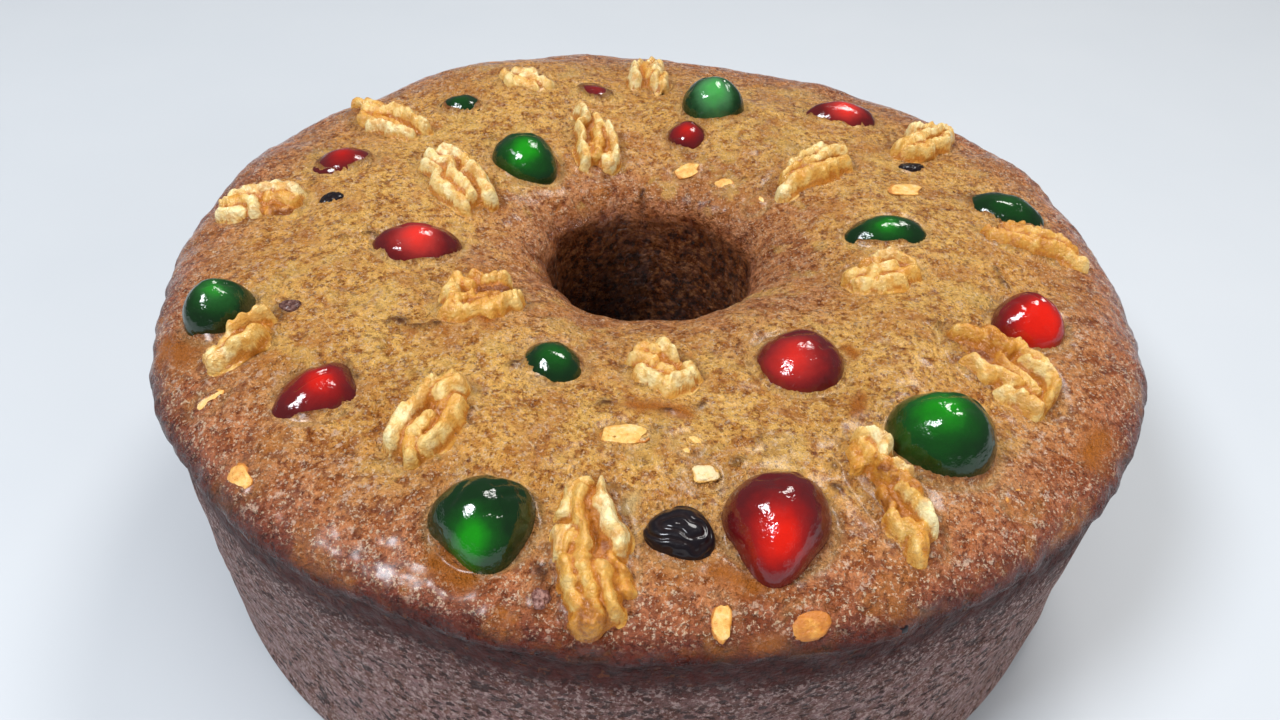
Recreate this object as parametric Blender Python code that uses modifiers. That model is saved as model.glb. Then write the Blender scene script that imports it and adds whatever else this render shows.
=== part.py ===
# Christmas ring cake: a dense fruit cake baked in a tube pan, with red and green glace
# cherries, walnut halves and raisins that sank part of the way into its risen crown.
# +Z is up. The origin is on the axis of the ring, on the surface that the cake stands on.
# Sizes and places are given in millimetres and turned into metres where a mesh is made.

import math
import random

import bmesh
import bpy
from mathutils import Matrix, Vector

MM = 0.001

# Section of the crown from the hole's throat to the shoulder: (radius, height)
CROWN_SECTION = [
    (26.0, 66.0), (27.5, 69.0), (31.0, 72.5), (38.0, 75.5), (50.0, 78.0),
    (62.0, 78.8), (74.0, 79.0), (84.0, 78.6), (93.0, 77.8),
]
# The shoulder is a quarter of an ellipse from there to the crust's edge, the widest place
RIM_RADIUS = 117.5
RIM_HEIGHT = 68.0
SHOULDER_STEPS = 5

# The wall tapers from under the crust's edge to the base, as the pan does
WALL_TOP_RADIUS = 116.3
WALL_TOP_HEIGHT = 66.0
BASE_RADIUS = 115.3
BASE_EDGE = 3.0
HOLE_BASE_RADIUS = 30.0
WALL_RINGS = 3
HOLE_RINGS = 3
RING_STEPS = 56

# Swells and hollows of the crown: (angle, radius, spread, rise)
SWELLS = [
    (119.0, 97.0, 24.0, 3.8), (147.0, 106.0, 13.0, 2.6), (99.0, 104.0, 9.0, -0.8),
    (75.0, 98.0, 20.0, -2.3), (56.0, 104.0, 9.0, -1.8), (32.0, 106.0, 8.0, -2.0),
    (303.0, 38.0, 9.0, 1.6), (205.0, 78.0, 16.0, -0.8), (330.0, 70.0, 18.0, 0.7),
    (265.0, 88.0, 14.0, 0.6),
]
# Places where the crust's edge leans in or out: (angle, spread in degrees, reach)
RIM_LEANS = [(196.0, 11.0, -1.3), (217.0, 13.0, 1.8), (323.0, 20.0, 1.6)]
# Heights over which the crown's relief, the leans and the wall's waves come in
RELIEF_LOW = 56.0
RELIEF_HIGH = 68.0
LEAN_LOW = 20.0
WALL_WAVE_FADE = 12.0
# Radius within which the wall's waves belong to the hole, and the width over which they fade out
HOLE_WAVE_RADIUS = 50.0
HOLE_WAVE_FADE = 15.0

# Gentle waves of the crust, drawn from a seed: amplitude and range of wavelengths
CRUST_SEED = 24
CROWN_WAVES = 7
CROWN_WAVE_RISE = 0.32
CROWN_WAVE_LENGTHS = (34.0, 76.0)
WALL_WAVES = 6
WALL_WAVE_DEPTH = 0.22
WALL_WAVE_COUNTS = (4, 15)
WALL_WAVE_SLOPE = 0.12

# Step over which the crown's slope is taken
NORMAL_STEP = 3.0
# Points of the turned ring closer than this, in metres, are one point
MERGE_DISTANCE = 0.00001

# Gap that each topping keeps to the pocket that it sits in
POCKET_GAP = 0.36

# Each cherry: (angle, radius, length, width, rise, heading of its length, tip, heading of its tip)
RED_CHERRIES = [
    (164.0, 86.0, 15.5, 12.0, 3.0, 20.0, 1.0, 200.0),
    (192.5, 57.0, 18.5, 15.0, 5.0, 15.0, 0.0, 0.0),
    (225.5, 92.5, 14.5, 13.5, 4.0, 70.0, 2.0, 72.0),
    (105.0, 75.0, 12.0, 8.5, 1.8, -18.0, 0.0, 0.0),
    (80.5, 51.0, 11.5, 11.0, 3.4, 30.0, 0.0, 0.0),
    (51.0, 87.5, 21.0, 11.5, 4.0, 0.0, 0.0, 0.0),
    (303.0, 59.5, 19.0, 18.5, 6.2, -30.0, 0.0, 0.0),
    (339.3, 90.6, 15.8, 15.4, 7.2, -20.0, 0.0, 0.0),
    (284.8, 96.8, 19.3, 18.8, 9.5, 0.0, 2.8, 263.0),
]
GREEN_CHERRIES = [
    (134.5, 82.0, 11.5, 8.5, 2.0, 0.0, 0.0, 0.0),
    (138.5, 47.5, 19.5, 16.5, 7.0, -40.0, 1.4, 313.0),
    (76.5, 68.0, 18.0, 17.0, 8.6, 0.0, 0.0, 0.0),
    (2.5, 58.0, 18.5, 11.5, 3.2, 4.0, 0.0, 0.0),
    (11.0, 93.5, 20.5, 13.0, 4.2, -21.0, 0.0, 0.0),
    (204.2, 102.0, 15.5, 13.4, 8.0, 108.0, 0.0, 0.0),
    (250.5, 57.0, 12.5, 11.0, 3.4, -20.0, 0.0, 0.0),
    (254.5, 100.0, 17.5, 16.5, 8.0, 0.0, 1.6, 284.0),
    (309.0, 92.0, 20.0, 19.5, 10.5, 0.0, 0.0, 0.0),
]

# Each walnut: (angle, radius, length, width, rise, heading, groove, bend, taper)
WALNUTS = [
    (119.0, 83.5, 17.0, 12.0, 2.6, 9.0, 0.30, 0.0, 0.0),
    (148.0, 91.5, 31.0, 13.0, 4.6, -31.0, 0.30, 1.5, 0.1),
    (162.0, 55.0, 27.5, 14.0, 6.0, -48.0, 0.55, 0.0, 0.0),
    (178.5, 98.5, 22.0, 13.0, 4.2, 2.0, 0.30, -1.0, 0.1),
    (221.5, 50.0, 20.0, 17.0, 5.4, 25.0, 0.40, 0.0, 0.1),
    (211.4, 98.8, 18.0, 8.6, 5.0, 48.0, 0.45, 0.0, -0.1),
    (241.5, 84.0, 23.0, 13.0, 5.4, 66.0, 0.35, 0.0, 0.0),
    (265.9, 101.5, 31.0, 14.0, 5.5, 93.0, 0.35, 0.0, -0.3),
    (298.3, 97.2, 28.5, 10.5, 5.2, -64.0, 0.30, -2.6, -0.1),
    (327.6, 88.8, 28.0, 15.6, 6.0, -48.0, 0.55, 0.0, 0.0),
    (274.0, 54.5, 16.0, 13.0, 5.0, -34.0, 0.30, 0.0, 0.0),
    (343.5, 56.5, 19.5, 13.0, 4.4, 9.0, 0.30, 0.0, 0.0),
    (111.5, 49.0, 29.0, 12.5, 5.6, -76.0, 0.35, 0.0, -0.35),
    (92.3, 87.0, 23.0, 13.0, 5.4, 92.0, 0.35, 0.0, 0.0),
    (37.0, 53.0, 28.5, 13.0, 5.4, 36.0, 0.40, 1.0, 0.0),
    (35.0, 93.0, 27.5, 13.0, 5.4, 37.0, 0.35, 0.0, 0.1),
    (1.5, 95.0, 27.0, 12.0, 4.4, -12.0, 0.35, 0.0, 0.0),
]

# Each raisin: (angle, radius, length, width, rise, heading)
RAISINS = [
    (274.6, 97.3, 12.6, 10.4, 3.4, -12.0),
    (177.0, 81.0, 6.4, 4.6, 1.1, 40.0),
    (206.6, 87.4, 5.0, 3.8, 1.1, 0.0),
    (28.3, 80.5, 8.6, 4.6, 1.4, 20.0),
    (293.2, 116.8, 5.4, 3.8, 1.2, 20.0),
    (262.0, 110.4, 4.0, 3.4, 1.1, 90.0),
]

# Each chopped nut or peel chip that shows in the crust: (angle, radius, length, width, rise, heading)
CHIPS = [
    (217.9, 109.0, 6.0, 3.6, 1.0, 40.0), (229.0, 113.4, 7.5, 4.6, 1.2, 140.0),
    (278.3, 84.6, 4.6, 4.4, 1.2, 0.0), (276.8, 77.0, 4.4, 4.0, 0.9, 30.0),
    (267.6, 74.6, 8.5, 5.4, 0.9, 10.0), (75.8, 37.0, 6.4, 4.6, 1.2, 20.0),
    (58.0, 36.0, 5.0, 3.6, 1.1, 0.0), (38.0, 35.0, 5.6, 3.8, 1.1, 70.0),
    (19.5, 70.0, 9.5, 6.4, 1.5, 10.0), (277.6, 113.0, 6.0, 3.4, 0.9, 95.0),
    (285.0, 114.6, 7.4, 4.2, 1.0, 15.0), (310.7, 108.4, 6.0, 3.8, 0.9, 40.0),
]

# Half height of a cherry that rises by a given amount: the deeper it sank, the flatter it lies
CHERRY_HALF_HEIGHT = 4.5
CHERRY_HALF_HEIGHT_PER_RISE = 0.6
CHERRY_SIDES = 12
CHERRY_RINGS = 6
# Fall in degrees from the top of a cherry to the ring where its flat underside begins
CHERRY_UNDERSIDE = 112.0
# Heights of the two and three gentle lumps round a cherry, and half width of its tip in radians
CHERRY_TWO_LUMPS = 0.025
CHERRY_THREE_LUMPS = 0.02
CHERRY_TIP_SPREAD = 0.5

# A walnut half: faces round and along it, depth under the crust, and how full its ends are
WALNUT_SIDES = 12
WALNUT_RINGS = 8
WALNUT_SINK = 3.6
WALNUT_FULLNESS = 0.72
WALNUT_ROUNDNESS = 0.8
# Bulges along its lobes: height, and half turns of the wave from end to end
WALNUT_BULGE = 0.14
WALNUT_BULGE_TURNS = 2.6
# Half width of the groove as a share of the half's, and where the bend has no effect
WALNUT_GROOVE_WIDTH = 0.3
WALNUT_BEND_MIDDLE = 0.4
# The top is raised by this factor and the whole let down by this much, so that it meets its rise
WALNUT_LIFT = 1.06
WALNUT_DROP = 0.3
WALNUT_LEAST_BULGE = 0.55
WALNUT_UNDERSIDE_STEEPNESS = 1.25

# A raisin: faces round and down it, depth under the crust, and height of its three wrinkles
RAISIN_SIDES = 8
RAISIN_RINGS = 5
RAISIN_SINK_SHARE = 0.4
RAISIN_DEEPEST = 3.0
RAISIN_WRINKLE = 0.07

# Colours read off the cake: base colour, roughness
FINISHES = {
    "crust": ((0.270, 0.110, 0.035), 0.62),
    "red_glace": ((0.330, 0.006, 0.004), 0.12),
    "green_glace": ((0.004, 0.100, 0.010), 0.12),
    "walnut": ((0.560, 0.300, 0.090), 0.45),
    "raisin": ((0.010, 0.006, 0.006), 0.25),
}


def plan(angle, radius):
    # The point of the plan at an angle in degrees, counter-clockwise from +X, and a radius.
    return radius * math.cos(math.radians(angle)), radius * math.sin(math.radians(angle))


def smooth_step(value, low, high):
    # Zero below low and one above high, with a smooth rise between them.
    share = min(max((value - low) / (high - low), 0.0), 1.0)
    return share * share * (3.0 - 2.0 * share)


def draw_crown_waves(source):
    # Straight waves in seeded directions: two wave numbers and a phase for each.
    waves = []
    for _ in range(CROWN_WAVES):
        heading = source.uniform(0.0, math.tau)
        number = math.tau / source.uniform(*CROWN_WAVE_LENGTHS)
        waves.append((number * math.cos(heading), number * math.sin(heading), source.uniform(0.0, math.tau)))
    return waves


def draw_wall_waves(source):
    # Waves round the wall: a whole number of them round the ring, a slope over the height, and a phase.
    return [(source.randint(*WALL_WAVE_COUNTS), source.uniform(-WALL_WAVE_SLOPE, WALL_WAVE_SLOPE),
             source.uniform(0.0, math.tau)) for _ in range(WALL_WAVES)]


crust_random = random.Random(CRUST_SEED)
crown_waves = draw_crown_waves(crust_random)
wall_waves = draw_wall_waves(crust_random)


def crown_section():
    # The crown's section out to the crust's edge, with the shoulder's arc.
    points = list(CROWN_SECTION)
    start_radius, start_height = CROWN_SECTION[-1]
    for step in range(1, SHOULDER_STEPS + 1):
        turn = math.pi / 2.0 * step / SHOULDER_STEPS
        radius = start_radius + (RIM_RADIUS - start_radius) * math.sin(turn)
        points.append((radius, RIM_HEIGHT + (start_height - RIM_HEIGHT) * math.cos(turn)))
    return points


def section_height(radius):
    # Height of the plain section at a radius, straight between its points.
    points = crown_section()
    inner = points[0]
    if radius <= inner[0]:
        return inner[1]
    for outer in points[1:]:
        if radius <= outer[0]:
            share = (radius - inner[0]) / (outer[0] - inner[0])
            return inner[1] + share * (outer[1] - inner[1])
        inner = outer
    return inner[1]


def crown_relief(x, y):
    # Rise of the crust over the plain section: the swells and the gentle waves.
    relief = 0.0
    for angle, radius, spread, rise in SWELLS:
        centre = plan(angle, radius)
        relief += rise * math.exp(-((x - centre[0]) ** 2 + (y - centre[1]) ** 2) / (spread * spread))
    for across, along, phase in crown_waves:
        relief += CROWN_WAVE_RISE * math.cos(across * x + along * y + phase)
    return relief


def crown_height(x, y):
    return section_height(math.hypot(x, y)) + crown_relief(x, y)


def crown_normal(x, y):
    # Normal of the crown from its rise over a short step each way.
    step = NORMAL_STEP
    rise_x = crown_height(x + step, y) - crown_height(x - step, y)
    rise_y = crown_height(x, y + step) - crown_height(x, y - step)
    return Vector((-rise_x, -rise_y, 2.0 * step)).normalized()


def wall_relief(angle, height):
    # Waves of the wall, which fade out towards the flat base.
    relief = sum(math.cos(count * angle + slope * height + phase) for count, slope, phase in wall_waves)
    return WALL_WAVE_DEPTH * relief * smooth_step(height, 0.0, WALL_WAVE_FADE)


def rim_lean(angle):
    # How far the crust's edge leans out at an angle in radians.
    lean = 0.0
    for centre, spread, reach in RIM_LEANS:
        away = (math.degrees(angle) - centre + 180.0) % 360.0 - 180.0
        lean += reach * math.exp(-(away / spread) ** 2)
    return lean


def ring_section():
    # The closed section: over the crown, down the wall, along the base and up the hole.
    points = crown_section()
    for ring in range(WALL_RINGS):
        share = ring / (WALL_RINGS - 1)
        height = WALL_TOP_HEIGHT + share * (BASE_EDGE - WALL_TOP_HEIGHT)
        points.append((WALL_TOP_RADIUS + share * (BASE_RADIUS - WALL_TOP_RADIUS), height))
    throat_radius, throat_height = CROWN_SECTION[0]
    points.append((BASE_RADIUS - BASE_EDGE, 0.0))
    points.append(((BASE_RADIUS + HOLE_BASE_RADIUS) / 2.0, 0.0))
    points.append((HOLE_BASE_RADIUS + BASE_EDGE, 0.0))
    for ring in range(HOLE_RINGS):
        share = ring / HOLE_RINGS
        height = BASE_EDGE + share * (throat_height - BASE_EDGE)
        points.append((HOLE_BASE_RADIUS + share * (throat_radius - HOLE_BASE_RADIUS), height))
    return points


def make_collection(name):
    collection = bpy.data.collections.new(name)
    bpy.context.scene.collection.children.link(collection)
    return collection


def make_material(name, colour, roughness):
    material = bpy.data.materials.new(name)
    material.use_nodes = True
    shader = material.node_tree.nodes["Principled BSDF"]
    shader.inputs["Base Color"].default_value = (*colour, 1.0)
    shader.inputs["Roughness"].default_value = roughness
    shader.inputs["Metallic"].default_value = 0.0
    material.diffuse_color = (*colour, 1.0)
    return material


def add_object(name, mesh, collection, matrix=None):
    thing = bpy.data.objects.new(name, mesh)
    collection.objects.link(thing)
    if matrix is not None:
        thing.matrix_world = matrix
    return thing


def evaluated_mesh(thing):
    # The object's mesh with its modifiers applied.
    graph = bpy.context.evaluated_depsgraph_get()
    return bpy.data.meshes.new_from_object(thing.evaluated_get(graph))


def turned_ring(collection):
    # The section turned about the axis, before its relief.
    points = [(radius * MM, 0.0, height * MM) for radius, height in ring_section()]
    edges = [(index, (index + 1) % len(points)) for index in range(len(points))]
    mesh = bpy.data.meshes.new("cake_section")
    mesh.from_pydata(points, edges, [])
    section = add_object("cake_section", mesh, collection)
    screw = section.modifiers.new("turn", "SCREW")
    screw.steps = RING_STEPS
    screw.render_steps = RING_STEPS
    screw.use_merge_vertices = True
    screw.merge_threshold = MERGE_DISTANCE
    ring = evaluated_mesh(section)
    bpy.data.objects.remove(section)
    return ring


def add_relief(mesh):
    # Moves each point of the turned ring: up by the crown's relief and out by the wall's.
    for vertex in mesh.vertices:
        x, y, height = vertex.co / MM
        radius = math.hypot(x, y)
        rise = crown_relief(x, y) * smooth_step(height, RELIEF_LOW, RELIEF_HIGH)
        angle = math.atan2(y, x)
        swell = wall_relief(angle, height)
        if radius > CROWN_SECTION[-1][0]:
            swell += rim_lean(angle) * smooth_step(height, LEAN_LOW, RIM_HEIGHT)
        if radius < HOLE_WAVE_RADIUS:
            swell *= smooth_step(HOLE_WAVE_RADIUS - radius, 0.0, HOLE_WAVE_FADE)
        elif height > WALL_TOP_HEIGHT:
            swell *= smooth_step(radius, CROWN_SECTION[-1][0], RIM_RADIUS)
        factor = (radius + swell) / radius
        vertex.co = Vector((x * factor, y * factor, height + rise)) * MM


def seat(angle, radius, heading):
    # A place on the crown: the origin on the crust, +Z along its normal, +X along the heading.
    x, y = plan(angle, radius)
    normal = crown_normal(x, y)
    ahead = Vector((*plan(heading, 1.0), 0.0))
    along = (ahead - normal * ahead.dot(normal)).normalized()
    across = normal.cross(along)
    matrix = Matrix((along, across, normal)).transposed().to_4x4()
    matrix.translation = Vector((x, y, crown_height(x, y))) * MM
    return matrix


def drape(shape, matrix):
    # Lets a long topping follow the crown instead of the flat plane that touches it.
    origin = matrix.translation / MM
    normal = matrix.col[2].to_3d()
    turn = matrix.to_3x3()
    for vertex in shape.verts:
        place = origin + turn @ vertex.co
        flat = origin.z - ((place.x - origin.x) * normal.x + (place.y - origin.y) * normal.y) / normal.z
        vertex.co.z += (crown_height(place.x, place.y) - flat) * normal.z


def cherry_shape(length, width, rise, tip, tip_heading, source):
    # A sphere whose lower rings are drawn up to a flat underside inside the cake. Its middle lies
    # below the crust, and it is as wide there as its visible patch at the crust asks for.
    underside = math.radians(CHERRY_UNDERSIDE)
    last_ring = math.pi * (CHERRY_RINGS - 1) / CHERRY_RINGS
    half_height = CHERRY_HALF_HEIGHT + CHERRY_HALF_HEIGHT_PER_RISE * rise
    depth = half_height - rise
    spread = 0.5 / math.sqrt(1.0 - (depth / half_height) ** 2)
    phases = [source.uniform(0.0, math.tau) for _ in range(2)]
    shape = bmesh.new()
    bmesh.ops.create_uvsphere(shape, u_segments=CHERRY_SIDES, v_segments=CHERRY_RINGS, radius=1.0)
    for vertex in shape.verts:
        around = math.atan2(vertex.co.y, vertex.co.x)
        fall = math.acos(max(-1.0, min(1.0, vertex.co.z)))
        lower_pole = fall > last_ring + 0.01
        fall = min(fall, last_ring) * underside / last_ring
        reach = 0.0 if lower_pole else math.sin(fall)
        lumps = 1.0 + CHERRY_TWO_LUMPS * math.cos(2.0 * around + phases[0])
        lumps += CHERRY_THREE_LUMPS * math.cos(3.0 * around + phases[1])
        off_tip = (around - tip_heading + math.pi) % math.tau - math.pi
        point = tip * math.exp(-(off_tip / CHERRY_TIP_SPREAD) ** 2) * reach ** 3
        x = reach * (length * spread * lumps * math.cos(around)) + point * math.cos(around)
        y = reach * (width * spread * lumps * math.sin(around)) + point * math.sin(around)
        vertex.co = Vector((x, y, half_height * math.cos(fall) - depth))
    return shape


def walnut_shape(length, width, rise, groove, bend, taper, source):
    # A sphere whose poles are the two ends of the half. Its top has two lobes on either side of
    # a groove, bulges run along both lobes out of step, and its underside is flat.
    phases = [source.uniform(0.0, math.tau) for _ in range(2)]
    shape = bmesh.new()
    bmesh.ops.create_uvsphere(shape, u_segments=WALNUT_SIDES, v_segments=WALNUT_RINGS, radius=1.0)
    for vertex in shape.verts:
        along, across, up = vertex.co.z, vertex.co.x, vertex.co.y
        ring = math.sqrt(max(1.0 - along * along, 0.0))
        fullness = ring ** WALNUT_FULLNESS
        side = across / ring if ring > 0.01 else 0.0
        lift = up / ring if ring > 0.01 else 0.0
        phase = phases[0] if side > 0.0 else phases[1]
        bulge = 1.0 + WALNUT_BULGE * math.cos(WALNUT_BULGE_TURNS * math.pi * along + phase)
        y = side * fullness * width / 2.0 * bulge * (1.0 - taper * along)
        if lift > 0.01:
            dip = 1.0 - groove * math.exp(-(side / WALNUT_GROOVE_WIDTH) ** 2)
            swell = WALNUT_LEAST_BULGE + (1.0 - WALNUT_LEAST_BULGE) * bulge
            z = lift ** WALNUT_ROUNDNESS * fullness * rise * dip * swell * WALNUT_LIFT
        else:
            z = -WALNUT_SINK * fullness * min(abs(lift) * WALNUT_UNDERSIDE_STEEPNESS, 1.0)
        y += bend * (along * along - WALNUT_BEND_MIDDLE)
        vertex.co = Vector((along * length / 2.0, y, z - WALNUT_DROP))
    return shape


def raisin_shape(length, width, rise, source):
    # A small flattened sphere with a few wrinkles, the middle of which lies at the crust.
    sink = min(width * RAISIN_SINK_SHARE, RAISIN_DEEPEST)
    phase = source.uniform(0.0, math.tau)
    shape = bmesh.new()
    bmesh.ops.create_uvsphere(shape, u_segments=RAISIN_SIDES, v_segments=RAISIN_RINGS, radius=1.0)
    for vertex in shape.verts:
        around = math.atan2(vertex.co.y, vertex.co.x)
        wrinkle = 1.0 + RAISIN_WRINKLE * math.cos(3.0 * around + phase)
        z = vertex.co.z * (rise if vertex.co.z > 0.0 else sink)
        vertex.co = Vector((vertex.co.x * wrinkle * length / 2.0, vertex.co.y * wrinkle * width / 2.0, z))
    return shape


def mesh_from_shape(name, shape):
    # A mesh in metres from a shape in millimetres.
    bmesh.ops.scale(shape, vec=(MM, MM, MM), verts=shape.verts)
    bmesh.ops.recalc_face_normals(shape, faces=shape.faces)
    mesh = bpy.data.meshes.new(name)
    shape.to_mesh(mesh)
    mesh.shade_smooth()
    return mesh


def add_topping(name, shape, matrix, material, parts, cutters):
    # The topping, and the slightly larger copy of it that cuts its pocket.
    topping = add_object(name, mesh_from_shape(name, shape), parts, matrix)
    topping.data.materials.append(material)
    shape.normal_update()
    for vertex in shape.verts:
        vertex.co += vertex.normal * vertex.calc_shell_factor() * POCKET_GAP * MM
    pocket_mesh = bpy.data.meshes.new(name + "_pocket")
    shape.to_mesh(pocket_mesh)
    shape.free()
    pocket = add_object(name + "_pocket", pocket_mesh, cutters, matrix)
    pocket.hide_render = True
    pocket.display_type = "WIRE"


def add_cherries(kind, rows, material, parts, cutters):
    source = random.Random(kind)
    for number, (angle, radius, length, width, rise, heading, tip, tip_heading) in enumerate(rows, 1):
        matrix = seat(angle, radius, heading)
        shape = cherry_shape(length, width, rise, tip, math.radians(tip_heading - heading), source)
        add_topping(f"cherry_{kind}_{number}", shape, matrix, material, parts, cutters)


def add_walnuts(material, parts, cutters):
    source = random.Random("walnut")
    for number, (angle, radius, length, width, rise, heading, groove, bend, taper) in enumerate(WALNUTS, 1):
        matrix = seat(angle, radius, heading)
        shape = walnut_shape(length, width, rise, groove, bend, taper, source)
        drape(shape, matrix)
        add_topping(f"walnut_{number}", shape, matrix, material, parts, cutters)


def add_raisins(material, parts, cutters):
    source = random.Random("raisin")
    for number, (angle, radius, length, width, rise, heading) in enumerate(RAISINS, 1):
        matrix = seat(angle, radius, heading)
        shape = raisin_shape(length, width, rise, source)
        add_topping(f"raisin_{number}", shape, matrix, material, parts, cutters)


def add_chips(collection):
    # Chopped nuts and peel, half sunk in the crust, to be joined to the cake.
    for number, (angle, radius, length, width, rise, heading) in enumerate(CHIPS, 1):
        shape = bmesh.new()
        bmesh.ops.create_icosphere(shape, subdivisions=1, radius=1.0)
        bmesh.ops.scale(shape, vec=(length / 2.0, width / 2.0, rise), verts=shape.verts)
        name = f"chip_{number}"
        add_object(name, mesh_from_shape(name, shape), collection, seat(angle, radius, heading))
        shape.free()


def join_all(thing, collection):
    # Joins the collection's objects to the thing, then removes them.
    union = thing.modifiers.new("chips", "BOOLEAN")
    union.operation = "UNION"
    union.solver = "EXACT"
    union.operand_type = "COLLECTION"
    union.collection = collection
    joined = evaluated_mesh(thing)
    thing.modifiers.remove(union)
    thing.data = joined
    for member in list(collection.objects):
        bpy.data.objects.remove(member)
    bpy.data.collections.remove(collection)


def cut_pockets(thing, cutters):
    cut = thing.modifiers.new("pockets", "BOOLEAN")
    cut.operation = "DIFFERENCE"
    cut.solver = "EXACT"
    cut.operand_type = "COLLECTION"
    cut.collection = cutters


def main():
    for thing in list(bpy.data.objects):
        bpy.data.objects.remove(thing)
    parts = make_collection("christmas_cake")
    cutters = make_collection("pocket_cutters")
    chips = make_collection("chips")
    materials = {name: make_material(name, *finish) for name, finish in FINISHES.items()}

    ring = turned_ring(parts)
    add_relief(ring)
    cake = add_object("cake", ring, parts)
    add_chips(chips)
    join_all(cake, chips)
    cake.data.shade_smooth()
    cake.data.materials.clear()
    cake.data.materials.append(materials["crust"])

    add_cherries("red", RED_CHERRIES, materials["red_glace"], parts, cutters)
    add_cherries("green", GREEN_CHERRIES, materials["green_glace"], parts, cutters)
    add_walnuts(materials["walnut"], parts, cutters)
    add_raisins(materials["raisin"], parts, cutters)
    cut_pockets(cake, cutters)


main()
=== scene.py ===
# Looks of the Christmas ring cake: a browned, sugary crust with glace cherries, walnut halves
# and raisins baked into its crown. Shapes are worked out in millimetres and scaled at the mesh.

import math
import random

import bpy
import numpy as np
from mathutils import Matrix


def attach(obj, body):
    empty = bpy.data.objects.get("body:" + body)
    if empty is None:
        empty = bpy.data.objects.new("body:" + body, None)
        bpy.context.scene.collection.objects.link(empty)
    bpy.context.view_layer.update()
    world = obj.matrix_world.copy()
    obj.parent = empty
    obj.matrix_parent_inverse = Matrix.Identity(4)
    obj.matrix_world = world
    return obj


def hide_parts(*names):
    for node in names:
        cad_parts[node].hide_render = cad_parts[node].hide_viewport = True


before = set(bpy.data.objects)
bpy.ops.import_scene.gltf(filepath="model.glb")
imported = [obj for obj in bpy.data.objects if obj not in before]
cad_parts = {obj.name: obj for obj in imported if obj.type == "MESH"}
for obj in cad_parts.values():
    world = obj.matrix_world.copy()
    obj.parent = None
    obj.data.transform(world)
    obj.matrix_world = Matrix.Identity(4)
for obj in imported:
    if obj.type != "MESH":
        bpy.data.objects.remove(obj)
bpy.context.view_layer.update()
mm = 0.001


def planPoint(angle, radius):
    # x = radius cos(angle) and y = radius sin(angle), with the angle in degrees from +X
    turn = math.radians(angle)
    return radius * math.cos(turn), radius * math.sin(turn)


def smoothStep(value, low, high):
    # 0 below low and 1 above high, and 3t^2 - 2t^3 of the share t between them
    share = np.clip((value - low) / (high - low), 0.0, 1.0)
    return share * share * (3.0 - 2.0 * share)


def bell(value, width):
    # exp(-(value / width)^2)
    return np.exp(-(value / width) ** 2)


def latticeNoise(points, size, seed):
    # Value noise from -1 to 1: random values at the corners of cells of that size, mixed smoothly
    # along each axis. The value of a corner is a sine hash of its three whole numbers.
    scaled = points / size
    corner = np.floor(scaled)
    share = scaled - corner
    share = share * share * (3.0 - 2.0 * share)
    total = 0.0
    for step in range(8):
        offset = np.array([step & 1, step >> 1 & 1, step >> 2 & 1], float)
        weight = np.prod(np.where(offset > 0.5, share, 1.0 - share), axis=-1)
        whole = corner + offset
        wave = np.sin(whole @ np.array([12.9898, 78.233, 37.719]) + seed * 4.137) * 43758.5453
        total = total + weight * (2.0 * (wave - np.floor(wave)) - 1.0)
    return total


def cloudNoise(points, size, seed, octaves=3):
    # Octaves of latticeNoise, each at half the size and half the height of the last
    total, height = 0.0, 1.0
    for octave in range(octaves):
        total = total + height * latticeNoise(points, size / 2 ** octave, seed + octave)
        height *= 0.5
    return total / (2.0 - 2.0 * height)


def lineDistance(x, y, line):
    # Distance in plan from each point to a line (x1, y1, x2, y2), and the share of the line
    # passed where it comes nearest
    x1, y1, x2, y2 = line
    reach = max((x2 - x1) ** 2 + (y2 - y1) ** 2, 1e-9)
    share = np.clip(((x - x1) * (x2 - x1) + (y - y1) * (y2 - y1)) / reach, 0.0, 1.0)
    return np.hypot(x - x1 - share * (x2 - x1), y - y1 - share * (y2 - y1)), share


cakeForm = {
    "crown": [(26.0, 66.0), (27.5, 69.0), (31.0, 72.5), (38.0, 75.5), (50.0, 78.0),
              (62.0, 78.8), (74.0, 79.0), (84.0, 78.6), (93.0, 77.8)],   # radius, height
    "rim": (117.5, 68.0),
    "wallTop": (116.3, 66.0),
    "baseRadius": 115.3,
    "baseEdge": 3.0,
    "holeBaseRadius": 30.0,
    "shoulderSteps": 5,
    "swells": [(119.0, 97.0, 24.0, 3.8), (147.0, 106.0, 13.0, 2.6), (99.0, 104.0, 9.0, -0.8),
               (75.0, 98.0, 20.0, -2.3), (56.0, 104.0, 9.0, -1.8), (32.0, 106.0, 8.0, -2.0),
               (303.0, 38.0, 9.0, 1.6), (205.0, 78.0, 16.0, -0.8), (330.0, 70.0, 18.0, 0.7),
               (265.0, 88.0, 14.0, 0.6)],   # angle, radius, spread, rise
    "leans": [(196.0, 11.0, -1.3), (217.0, 13.0, 1.8), (323.0, 20.0, 1.6)],   # angle, spread, reach
    "seed": 24,
    "crownWaves": 7,
    "crownWaveRise": 0.32,
    "crownWaveLengths": (34.0, 76.0),
    "wallWaves": 6,
    "wallWaveDepth": 0.22,
    "wallFade": 12.0,          # height up to which the wall's waves fade in
}


def drawWaves(form):
    # Seeded waves: straight ones for the crown (two wave numbers, phase), and round the wall
    # (waves round, slope over the height, phase)
    source = random.Random(form["seed"])
    crown = []
    for _ in range(form["crownWaves"]):
        heading = source.uniform(0.0, math.tau)
        number = math.tau / source.uniform(*form["crownWaveLengths"])
        across, along = number * math.cos(heading), number * math.sin(heading)
        crown.append((across, along, source.uniform(0.0, math.tau)))
    wall = [(source.randint(4, 15), source.uniform(-0.12, 0.12), source.uniform(0.0, math.tau))
            for _ in range(form["wallWaves"])]
    return crown, wall


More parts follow.
